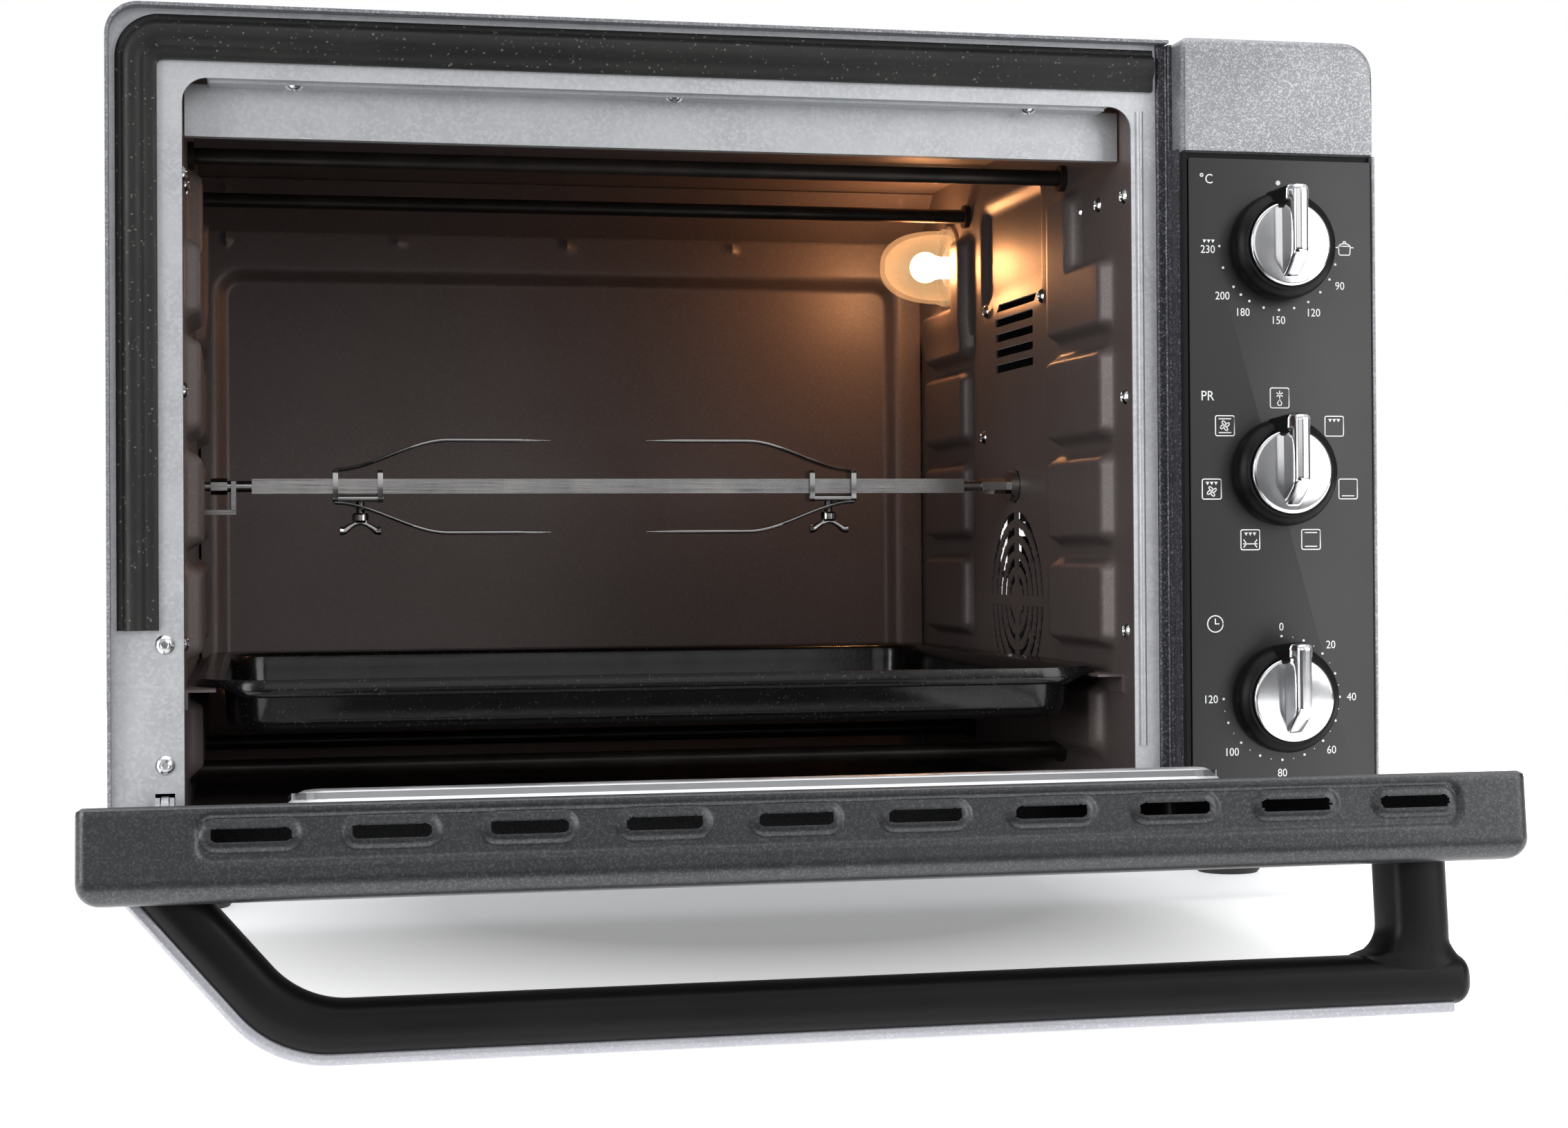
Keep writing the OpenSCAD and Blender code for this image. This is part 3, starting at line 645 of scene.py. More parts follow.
GLOSS_BLACK = Finish(
    "glossy black panel", "gloss_black", (0.01, 0.01, 0.011), (0.013, 0.013, 0.014),
    gloss=(0.42, 0.48), drift=10, grain_scale=300, grain_depth=0.000003,
    constants={"Coat Weight": 0.2, "Coat Roughness": 0.32})
PRINT_WHITE = Finish(
    "white printing ink", "gloss_black", (0.86, 0.86, 0.86), (0.9, 0.9, 0.9), gloss=(0.4, 0.5),
    grain_depth=0.000005)
KNOB_CHROME = Finish(
    "polished knob chrome", "knob_chrome", (0.88, 0.88, 0.9), (0.92, 0.92, 0.93), metallic=1.0,
    gloss=(0.1, 0.14), drift=30, grain_scale=200, grain_depth=0.000002)
DOOR_GLASS = Finish(
    "tinted door glass", "door_glass", (0.015, 0.016, 0.018), (0.02, 0.021, 0.023),
    gloss=(0.02, 0.06), grain_depth=0.0, constants={"Alpha": 0.55, "IOR": 1.5})
TRAY_ENAMEL = Finish(
    "black tray enamel", "tray_enamel", (0.003, 0.003, 0.0034), (0.005, 0.005, 0.0055),
    gloss=(0.12, 0.22), drift=25, fleck=(0.04, 0.04, 0.04), fleck_scale=1500, fleck_share=0.05,
    grain_scale=500, grain_depth=0.00003, ripple_scale=60, ripple_depth=0.0001,
    constants={"Specular IOR Level": 0.4})


# ------------------------------------------------------------------ pieces


def piece(
    name: str, surface: Surface, body: str, finish: Finish, stands_for: Sequence[str] = (),
    crease: float = 35.0,
) -> bpy.types.Object:
    """Makes one finished object out of a surface.

    Doubled points are merged, faces are turned outwards and edges sharper than crease stay sharp.

    Args:
        name: The object's name.
        surface: Its shape in case millimetres.
        body: The moving body that it rides on.
        finish: Its finish.
        stands_for: The plain nodes that it is shown instead of.
        crease: Angle in degrees past which an edge is drawn sharp.

    Returns:
        The object, with its place in its mesh.
    """
    mesh = bpy.data.meshes.new(name)
    faces = [face for block in surface.blocks for face in block.tolist()]
    mesh.from_pydata(row(surface.points).tolist(), [], faces)
    bm = bmesh.new()
    bm.from_mesh(mesh)
    bmesh.ops.remove_doubles(bm, verts=bm.verts, dist=MERGE_DISTANCE)
    bmesh.ops.recalc_face_normals(bm, faces=bm.faces)
    bm.to_mesh(mesh)
    bm.free()
    mesh.polygons.foreach_set("use_smooth", np.ones(len(mesh.polygons), bool))
    mesh.set_sharp_from_angle(angle=math.radians(crease))
    mesh.materials.append(finish.material())
    obj = bpy.data.objects.new(name, mesh)
    bpy.context.scene.collection.objects.link(obj)
    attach(obj, body)
    if stands_for:
        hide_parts(*stands_for)
    log.info("%s: %d faces on %s", name, len(mesh.polygons), body)
    return obj


def dress(finish: Finish, *names: str) -> None:
    """Gives the frame's own nodes a finish in every material slot.

    Args:
        finish: The finish.
        *names: The nodes that take it.
    """
    for name in names:
        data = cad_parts[name].data
        if not data.materials:
            data.materials.append(None)
        for i in range(len(data.materials)):
            data.materials[i] = finish.material()
        log.info("%s: dressed in %s", name, finish.name)


def pan_head(centre: Sequence[float], axis: Sequence[float], radius: float = 3.2) -> Surface:
    """Pan head with a cross recess.

    The height over the rim is 1.7 (1 - (r/R)^3), less 1.0 inside a cross whose arms are 0.45 wide.

    Args:
        centre: Middle of the seat.
        axis: Direction in which the head stands out.
        radius: Radius of the head.

    Returns:
        The closed head.
    """
    w = np.array(axis, float)
    u = np.cross(w, [0.0, 0.0, 1.0] if abs(w[2]) < 0.9 else [0.0, 1.0, 0.0])
    v = np.cross(w, u)
    r = np.linspace(0, 1, 10)[::-1, None] * radius
    t = np.linspace(0, 2 * math.pi, 32, endpoint=False)[None]
    a, b = r * np.cos(t), r * np.sin(t)
    arm = np.minimum(np.abs(a), np.abs(b))
    cross = eased((0.75 - arm) / 0.35) * eased((0.62 * radius - r) / 0.4)
    height = 1.7 * (1 - (r / radius) ** 3) - 1.1 * cross + 0 * t
    top = np.stack([a, b, height], -1)
    base = top[:1] * [1, 1, 0]
    rings = np.concatenate([base, top])
    points = np.array(centre) + rings[..., :1] * u + rings[..., 1:2] * v + rings[..., 2:] * w
    return lofted(points)


@dataclass
class CaseBody:
    """Painted case, its front frame, seal, reflector strip, rivets and screws."""

    seal_left: float = 3.3
    seal_right: float = 398.0
    seal_low: float = 109.8
    seal_top: float = 333.1
    seal_width: float = 14.7
    seal_top_width: float = 16.3
    mouth_top: float = 310.7
    rivet_x: float = 20.0
    rivet_zs: tuple[float, float] = (104.5, 60.9)
    screw_xs: tuple[float, float, float] = (67.0, 209.0, 349.5)
    screw_y: float = 7.6

    def dress_frame(self) -> None:
        """Finishes the case's own nodes."""
        dress(SILVER_SPARKLE, "outer_shell", "back_cover")
        dress(GALVANISED, "cavity_front_frame", "base_plate", "top_reflector",
              "hinge_bracket_left", "hinge_bracket_right", "hinge_knuckle_left",
              "hinge_knuckle_right")
        dress(FOOT_RUBBER, "front_feet", "rear_feet")
        dress(DARK_PLASTIC, "cord_gland")
        dress(MOTOR_STEEL, "spit_motor", "fan_motor", "thermostat", "function_switch", "timer")
        # The fan blade takes the dark tube finish as painted shade behind the grille.
        dress(TUBE_SHEATH, "fan_blade")

    def seal(self) -> Surface:
        """The door seal: its cross-section carried up the left side, round the corner and along
        the top. At width w the corner's radius is 16 - 0.92 w, so the inner corner stays tight.

        Returns:
            The closed strip.
        """
        w = np.array([0, 0, 0.5, 1.6, 2.2, 3.0, 4.2, 5.6, 7.2, 8.6, 9.6, 10.2, 10.8, 12.5, 14.2,
                      14.7, 14.7])
        h = np.array([0, 1.4, 1.9, 2.1, 2.2, 3.6, 4.4, 4.7, 4.6, 4.1, 3.3, 2.8, 2.5, 2.4, 2.2,
                      1.8, 0])
        top_w = w * self.seal_top_width / self.seal_width
        r = 16 - 0.92 * w
        cx, cz = self.seal_left + w + r, self.seal_top - top_w - r
        a = np.radians(np.linspace(180, 90, 15))[None]
        arc_x, arc_z = cx[:, None] + r[:, None] * np.cos(a), cz[:, None] + r[:, None] * np.sin(a)
        rise = np.linspace(0, 1, 12)[None, :-1]
        up_z = self.seal_low + (cz[:, None] - self.seal_low) * rise
        run_x = cx[:, None] + (self.seal_right - cx[:, None]) * np.linspace(0, 1, 20)[None, 1:]
        x = np.hstack([0 * up_z + self.seal_left + w[:, None], arc_x, run_x])
        z = np.hstack([up_z, arc_z, 0 * run_x + (self.seal_top - top_w)[:, None]])
        y = -h[:, None] + 0 * x
        return lofted(np.stack([x, y, z], -1).transpose(1, 0, 2))

    def rivets(self) -> Surface:
        """Two blind rivets: a domed flange with a sunken middle."""
        profile = np.array([[0, 0.5], [1.2, 0.5], [1.5, 1.2], [2.2, 1.35], [3.1, 0.9],
                            [3.6, 0.3], [3.6, 0]])
        return joined([revolved(profile, (self.rivet_x, 0, z), (0, -1, 0), 40, True)
                       for z in self.rivet_zs])

    def reflector_screws(self) -> Surface:
        """Three pan heads that face down behind the top of the mouth."""
        z = self.mouth_top - 1.0
        return joined([pan_head((x, self.screw_y, z), (0, 0, -1), 3.4) for x in self.screw_xs])

    def build(self) -> None:
        """Makes and places every piece of the case."""
        self.dress_frame()
        piece("door_seal", self.seal(), "case", SEAL_RUBBER, ["door_gasket"], 50)
        piece("rivet_heads", self.rivets(), "case", SCREW_PLATE, ["frame_rivets"])
        piece("reflector_screw_heads", self.reflector_screws(), "case", SCREW_PLATE,
              ["reflector_screws"], 25)


# ------------------------------------------------------------------ cavity

PADS: tuple[tuple[float, float, float, float], ...] = (
    (20, 224, 98, 256.6), (62, 226, 98, 288.3), (20, 180.3, 98, 220.4), (20, 138.2, 98, 177.6),
    (20, 96.3, 98, 134.4), (34, 52, 98, 84), (230, 227.6, 306, 257.6), (229, 229, 252, 290.4),
    (230, 186.4, 306, 225.2), (230, 141.5, 306, 181), (230, 95.6, 306, 136.4), (230, 52, 306, 84),
)
WALL_SCREWS: tuple[tuple[float, float], ...] = (
    (9, 277), (9, 197.4), (9, 104.7), (64.6, 278), (40.4, 277.6), (118.2, 248.2),
    (204.4, 249.4), (209.4, 190.2),
)


@dataclass
class SideWall:
    """Stamped side wall of the cavity: raised pads, a sunken panel and, on the right, vents."""

    x: float
    inward: float
    vented: bool
    pad_height: float = 5.8
    bevel: float = 4.8
    ridge_y: float = 226.0
    panel: tuple[float, float, float, float] = (117.0, 225.0, 214.0, 301.0)
    panel_sink: float = 3.4
    ridge_step: float = 1.2
    fan_centre: tuple[float, float] = (159.0, 114.2)
    spit_centre: tuple[float, float] = (159.0, 166.0)

    def relief(self, y: Array, z: Array) -> Array:
        """Height of the stamping towards the cavity.

        Each pad rises by a smooth step of its inward distance over the bevel. The panel between
        the pad columns sinks in the same way and fades out towards its lower end, and the wall
        behind the ridge lies 1.2 further out.

        Args:
            y: Depth of each point.
            z: Height of each point.

        Returns:
            Millimetres towards the cavity.
        """
        pads = [box_distance(y, z, *p, 7.0) for p in PADS]
        rise = self.pad_height * eased(-np.minimum.reduce(pads) / self.bevel)
        panel = box_distance(y, z, *self.panel, 10)
        sink = self.panel_sink * eased(-panel / 7.0) * eased((z - 243) / 16)
        step = self.ridge_step * eased((y - self.ridge_y) / 2.5) * eased((250 - z) / 14)
        return rise - sink - step

    def openings(self, y: Array, z: Array) -> Array:
        """Distance to the nearest vent, negative inside it: five louvre slots, the spit hole and
        the fan grille's rings, which an upright and a level web divide.

        Args:
            y: Depth of each point.
            z: Height of each point.

        Returns:
            One distance per point, 50 on a wall without vents.
        """
        if not self.vented:
            return np.full_like(y, 50.0)
        slots = [box_distance(y, z, 131, 219 + i * 7.1, 189, 222.8 + i * 7.1, 1.6)
                 for i in range(5)]
        fy, fz = y - self.fan_centre[0], z - self.fan_centre[1]
        radius = np.hypot(fy, fz)
        webs = np.maximum(2.2 - np.abs(fy), 2.2 - np.abs(fz))
        rings = [np.maximum(np.abs(radius - (10.3 + 7 * i)) - 1.8, webs) for i in range(5)]
        spit = np.hypot(y - self.spit_centre[0], z - self.spit_centre[1]) - 7.6
        return np.minimum.reduce(slots + rings + [spit])

    def surface(self) -> Surface:
        """The wall as a closed sheet 0.9 thick over a grid that is finer round the vents.

        Returns:
            The stamped wall.
        """
        ys = spaced((1, 2.5), (20, 1.6), (36, 2.6), (98, 1.6), (118, 1.0), (200, 1.8), (240, 2.6),
                    (312, 1.8), (328, 1))
        zs = spaced((36.5, 2.6), (70, 1.0), (156, 1.4), (215, 0.95), (256, 2.0), (318.2, 1))
        y, z = np.meshgrid(ys, zs, indexing="ij")
        y, z = snapped(y, z, self.openings, 0.5)
        x = self.x + self.inward * self.relief(y, z)
        keep = self.openings(centres(y), centres(z)) > 0
        points = np.stack([x, y, z], -1)
        return sheet(points, keep, SHEET * self.inward)

    def screws(self) -> Surface:
        """Pan heads on the wall's plane."""
        return joined([pan_head((self.x, y, z), (self.inward, 0, 0)) for y, z in WALL_SCREWS])


@dataclass
class BackWall:
    """Back wall with a sunken field, a slope up to the ceiling and two rows of dimples."""

    left: float = 26.8
    right: float = 389.6
    depth: float = 328.0
    floor: float = 36.5
    bend_z: float = 296.0
    ceiling: float = 318.2
    ceiling_y: float = 300.0
    sunk: tuple[float, float, float, float] = (32.7, 62.0, 378.7, 278.0)
    sink: float = 6.0
    dimple_x: float = 39.3
    dimple_pitch: float = 83.7

    def dimples(self, x: Array, z: Array, level: float) -> Array:
        """A row of small pyramids 2.6 high: each falls off evenly with |dx| / 3 + |dz| / 5.

        Args:
            x: Place of each point across the wall.
            z: Height of each point.
            level: Height of the row's middle.

        Returns:
            Millimetres towards the cavity.
        """
        dx = np.abs((x - self.dimple_x + self.dimple_pitch / 2) % self.dimple_pitch
                    - self.dimple_pitch / 2)
        return 2.6 * np.clip(1 - dx / 3 - np.abs(z - level) / 5, 0, 1)

    def surface(self) -> Surface:
        """Closed sheet over a grid of x and of distance along the wall's profile.

        The profile climbs straight to the bend and then slopes forward to the ceiling. The field
        sinks by a smooth step of its inward distance over 7.

        Returns:
            The stamped wall.
        """
        xs = spaced((self.left, 1.5), (50, 3.0), (360, 1.5), (self.right, 1))
        zs = np.concatenate([
            spaced((self.floor, 4.0), (60, 2.0), (84, 4.0), (255, 1.6), (284, 1.0), (299, 1))[:-1],
            np.linspace(299, self.ceiling, 18)])
        x, z = np.meshgrid(xs, zs, indexing="ij")
        slope = (self.depth - self.ceiling_y) / (self.ceiling - self.bend_z)
        y = self.depth - np.maximum(z - self.bend_z, 0) * slope
        d = box_distance(x, z, *self.sunk, 14.0)
        y = y + self.sink * eased(-d / 7.0)
        y = y - self.dimples(x, z, 291.5) - 0.8 * self.dimples(x, z, 312.9)
        points = np.stack([x, y, z], -1)
        return sheet(points, np.ones((len(xs) - 1, len(zs) - 1), bool), -SHEET)


@dataclass
class Cavity:
    """The coated cavity with its heating tubes, lamp and hanger for the spit."""

    left: float = 26.8
    right: float = 389.6
    lamp_radius: float = 19.0
    bell_power: float = 2.4
    bell_height: float = 30.5
    bell_wall: float = 1.8
    globe_radius: float = 7.6
    globe_height: float = 26.5

    def lamp_glass(self) -> Surface:
        """Bell of glass: the outer radius falls with the 2.4th power of height, and the inner
        wall follows 1.8 inside it.

        Returns:
            The closed bell.
        """
        t = np.linspace(0, 1, 26)
        outer_r = self.lamp_radius * (1 - t ** self.bell_power) ** (1 / self.bell_power)
        ribs = np.array([[self.lamp_radius, 0.0], [self.lamp_radius, 2.4],
                         [self.lamp_radius - 1.0, 3.0]])
        outer = np.column_stack([outer_r[1:] * 0.95, 3.0 + self.bell_height * t[1:]])
        inner = np.column_stack([(outer_r - self.bell_wall).clip(0) * 0.95,
                                 1.0 + self.bell_height * t])[::-1]
        profile = np.vstack([ribs, outer, inner, [[self.lamp_radius - 2.7, 0.0]],
                             [[self.lamp_radius, 0.0]]])
        return revolved(profile, (LAMP[0] - 1.6, LAMP[1], LAMP[2]), (-1, 0, 0), 56)

    def bulb(self) -> Surface:
        """Small globe on a neck, pointing into the cavity.

        Returns:
            The closed bulb.
        """
        a = np.radians(np.linspace(-38, 90, 18))
        r = self.globe_radius
        globe = np.column_stack([r * np.cos(a), self.globe_height + r * np.sin(a)])
        profile = np.vstack([[[0, 0], [5.0, 0], [5.4, 4], [5.4, 19]], globe])
        return revolved(profile, (LAMP[0] + 14, LAMP[1], LAMP[2]), (-1, 0, 0), 40)

    def build(self) -> None:
        """Makes the walls, lamp and screws, and dresses the tubes."""
        dress(COAT, "cavity_ceiling", "cavity_floor", "tray_guides")
        left, right = SideWall(self.left, 1.0, False), SideWall(self.right, -1.0, True)
        piece("left_wall", left.surface(), "case", COAT, ["cavity_left_wall"], 60)
        piece("right_wall", right.surface(), "case", COAT, ["cavity_right_wall"], 60)
        piece("back_wall", BackWall().surface(), "case", COAT, ["cavity_back_wall"], 40)
        piece("wall_screw_heads", joined([left.screws(), right.screws()]), "case", SCREW_PLATE,
              ["wall_screws"], 25)
        dress(TUBE_SHEATH, "upper_element_front", "upper_element_rear", "lower_element_front",
              "lower_element_rear")
        dress(LAMP_METAL, "lamp_socket")
        piece("lamp_bell", self.lamp_glass(), "case", LAMP_GLASS, ["lamp_cover"])
        piece("lamp_globe", self.bulb(), "case", LAMP_GLOW, ["lamp_bulb"])
        dress(SPIT_CHROME, "spit_support")


# ------------------------------------------------------------------ spit and tray


@dataclass
class Fork:
    """Two-pronged fork on the spit, with its clamping wing screw."""

    x: float
    point: float
    axis_y: float = 159.0
    axis_z: float = 166.0
    reach: float = 20.0
    root: float = -11.0
    length: float = 93.0
    clips: tuple[float, float] = (-11.7, 7.2)
    clip_height: float = 6.9

    def placed(self, along: Array, y: Array, z: Array) -> Array:
        """Points at x + point times along, and off the axis by y and z."""
        return np.stack([self.x + self.point * along, self.axis_y + y, self.axis_z + z], -1)

    def clip(self, at: float, tall: float) -> Surface:
        """Bent end plate: a rounded frame 2.2 thick round the square bar.

        Args:
            at: Place of its outer face along the bar.
            tall: Half height.

        Returns:
            The closed plate.
        """
        outer = rounded_loop(-5.2, -tall, 5.2, tall, 1.6, 4)
        inner = rounded_loop(-3.45, -3.45, 3.45, 3.45, 0.4, 4)
        rings = [np.column_stack([np.full(len(r), s), r]) for s, r in (
            (at, inner), (at, outer), (at + 2.2, outer), (at + 2.2, inner), (at, inner))]
        p = np.stack(rings)
        return lofted(self.placed(p[..., 0], p[..., 1], p[..., 2]), False)

    def prong(self, side: float) -> Surface:
        """Flat blade that leaves the clip, flares out from the bar and tapers to a point.

        Its distance from the axis is 7 + 13 times a smooth step of the distance along it.

        Args:
            side: One for the upper prong, minus one for the lower.

        Returns:
            The closed blade.
        """
        s = np.linspace(0, 1, 36)
        along = self.root + self.length * s
        lift = 7.0 + (self.reach - 7.0) * eased(s / 0.52)
        half = np.interp(s, [0, 0.08, 0.4, 0.85, 1], [4.6, 4.8, 3.4, 2.2, 0.25])
        thick = np.interp(s, [0, 0.85, 1], [0.9, 0.9, 0.3])
        ring = squircle(1, 1, 3.5, 16)
        y = half[:, None] * ring[None, :, 0]
        z = side * (lift[:, None] + thick[:, None] * ring[None, :, 1])
        return lofted(self.placed(along[:, None] + 0 * y, y, z))

    def hub(self) -> Surface:
        """Saddle between the clips, under the bar, that the screw passes through.

        Returns:
            The closed saddle.
        """
        s = np.linspace(-9.6, 9.6, 13)
        ring = rounded_loop(-4.6, -6.6, 4.6, -4.0, 0.8, 3)
        points = self.placed(s[:, None] + 0 * ring[None, :, 0], ring[None, :, 0] + 0 * s[:, None],
                             ring[None, :, 1] + 0 * s[:, None])
        return lofted(points)

    def surface(self) -> Surface:
        """The whole fork."""
        clips = [self.clip(at, self.clip_height) for at in self.clips]
        return joined([*clips, self.prong(1), self.prong(-1), self.hub()])

    def screw(self) -> Surface:
        """Threaded shank with a bow-shaped wing: a bar bent into an S below the shank.

        Returns:
            Shank, boss and wing.
        """
        turns = np.arange(0, 41)
        thread = np.column_stack([1.75 + 0.25 * (turns % 2), -4.0 - turns * 0.2])
        c = (self.x, self.axis_y, self.axis_z)
        shank = revolved(np.vstack([[[0, -4.0]], thread, [[0, -12.0]]]), c, (0, 0, 1), 24)
        boss = revolved(np.array([[0, -11.5], [3.0, -11.5], [3.6, -12.2], [3.6, -14.6],
                                  [2.4, -15.6], [0, -15.6]]), c, (0, 0, 1), 28)
        t = np.linspace(-1, 1, 29)
        along = 8.6 * t
        drop = -15.6 - 5.2 * np.abs(t) ** 1.7 + 1.8 * np.clip(np.abs(t) - 0.8, 0, 1) / 0.2
        path = self.placed(along, 0 * t, drop)
        half = 1.1 + 1.1 * np.abs(t) ** 2
        ring = squircle(1, 1, 2.6, 14)
        section = np.stack([ring[None, :, 0] * half[:, None] * 0.9,
                            ring[None, :, 1] * half[:, None]], -1)
        wing = swept(path, section, up=(0, 1, 0))
        return joined([shank, boss, wing])


@dataclass
class Tray:
    """Drip tray: an enamelled pan with a hemmed rim."""

    box: tuple[float, float, float, float] = (30.2, 14.0, 386.2, 312.0)
    rim: float = 90.4
    corner: float = 30.0
    drop: float = 20.0

    def surface(self) -> Surface:
        """The pan as a closed sheet: rows of inset and level carried round the rim's outline, the
        last of them drawn together on the pan's middle line.

        Along the front, clear of the side rails, the rim's lip hangs 2.3 times as deep.

        Returns:
            The closed pan.
        """
        z, low = self.rim, self.rim - self.drop
        profile = np.array([
            [0.9, z - 2.9], [0.3, z - 2.7], [0.0, z - 1.9], [0.15, z - 0.9], [0.8, z - 0.2],
            [1.8, z], [3.4, z - 0.25], [7.6, z - 0.45], [9.4, z - 0.6], [10.6, z - 1.3],
            [11.1, z - 2.6], [11.6, z - 8], [12.2, low + 4.5], [12.9, low + 2.4],
            [14.2, low + 1.0], [16.5, low + 0.4], [22, low + 0.2], [40, low + 0.2],
            [60, low + 0.9], [100, low + 0.9], [147.5, low + 0.9]])
        rings = framed(self.box, self.corner, profile, 8)
        middle = rings[-1:].copy()
        middle[..., 1] = (self.box[1] + self.box[3]) / 2
        half = (self.box[3] - self.box[1]) / 2
        middle[..., 0] = np.clip(middle[..., 0], self.box[0] + half, self.box[2] - half)
        inside = np.minimum(rings[:4, :, 0] - self.box[0], self.box[2] - rings[:4, :, 0])
        front = eased((inside - 9) / 10) * (rings[:4, :, 1] < self.box[1] + self.corner)
        rings[:4, :, 2] -= 1.3 * front * (z - rings[:4, :, 2])
        rings = np.concatenate([rings, middle])
        keep = np.ones((len(rings) - 1, rings.shape[1]), bool)
        return sheet(rings, keep, -SHEET, wrap=True)


@dataclass
class SpitAndTray:
    """The turning spit with its forks, and the drip tray below it."""

    left_fork: Fork = field(default_factory=lambda: Fork(96.5, 1.0))
    right_fork: Fork = field(default_factory=lambda: Fork(302.5, -1.0))

    def build(self) -> None:
        """Makes the forks, screws and tray, and dresses the bar and its socket."""
        dress(SPIT_CHROME, "spit_rod", "drive_socket")
        for side, fork in (("left", self.left_fork), ("right", self.right_fork)):
            piece(f"fork_{side}", fork.surface(), f"fork_{side}", SPIT_CHROME,
                  [f"spit_fork_{side}"])
            piece(f"wing_screw_{side}", fork.screw(), f"screw_{side}", SPIT_CHROME,
                  [f"fork_screw_{side}"])
        piece("drip_pan", Tray().surface(), "tray", TRAY_ENAMEL, ["drip_tray"], 50)


# ------------------------------------------------------------------ console


def stroke(path: Array, width: float, y: float) -> Surface:
    """A printed line: a thin closed strip along a path of x and z, its middle on the path.

    Args:
        path: Rows of x and z; a closed line repeats its first point.
        width: Breadth of the line.
        y: Plane that it is printed on.

    Returns:
        The strip, 0.08 thick, mitred at each corner by the mean of its two directions.
    """
    closed = bool(np.allclose(path[0], path[-1]))
    step = np.diff(path, axis=0)
    step /= np.maximum(np.linalg.norm(step, axis=1, keepdims=True), 1e-9)
    before = np.vstack([step[-1:] if closed else step[:1], step])
    after = np.vstack([step, step[:1] if closed else step[-1:]])
    mean = before + after
    mean /= np.maximum(np.linalg.norm(mean, axis=1, keepdims=True), 1e-9)
    miter = 1 / np.maximum((mean * after).sum(1, keepdims=True), 0.6)
    side = np.stack([-mean[:, 1], mean[:, 0]], -1) * miter * width / 2
    a, b = path + side, path - side
    ring = [np.insert(p, 1, level, axis=1) for p, level in (
        (a, y), (a, y - INK), (b, y - INK), (b, y))]
    return lofted(np.stack(ring, 1))


def spot(x: float, z: float, radius: float, y: float) -> Surface:
    """A printed dot 0.08 thick."""
    return revolved(np.array([[radius, 0], [radius, INK]]), (x, y, z), (0, -1, 0), 20, True)


def lettering(text: str, x: float, z: float, height: float, y: float) -> Surface:
    """Printed figures, centred at x and z.

    Args:
        text: The figures.
        x: Middle of the line.
        z: Middle of the figures' height.
        height: Height of the figures.
        y: Plane that they are printed on.

    Returns:
        The figures as thin solids.
    """
    curve = bpy.data.curves.new("figures", "FONT")
    curve.body, curve.size, curve.extrude, curve.resolution_u = text, 1.0, 0.01, 3
    obj = bpy.data.objects.new("figures", curve)
    bpy.context.scene.collection.objects.link(obj)
    bpy.context.view_layer.update()
    mesh = bpy.data.meshes.new_from_object(obj.evaluated_get(bpy.context.evaluated_depsgraph_get()))
    co = np.empty(len(mesh.vertices) * 3)
    mesh.vertices.foreach_get("co", co)
    co = co.reshape(-1, 3)
    faces = [np.array([list(p.vertices)]) for p in mesh.polygons]
    bpy.data.objects.remove(obj)
    middle = (co.min(0) + co.max(0)) / 2
    scale = height / (co[:, 1].max() - co[:, 1].min())
    points = np.column_stack([
        x + (co[:, 0] - middle[0]) * scale * 0.92, y - 0.04 + co[:, 2] * 4 * -1,
        z + (co[:, 1] - middle[1]) * scale])
    return Surface(points, faces)


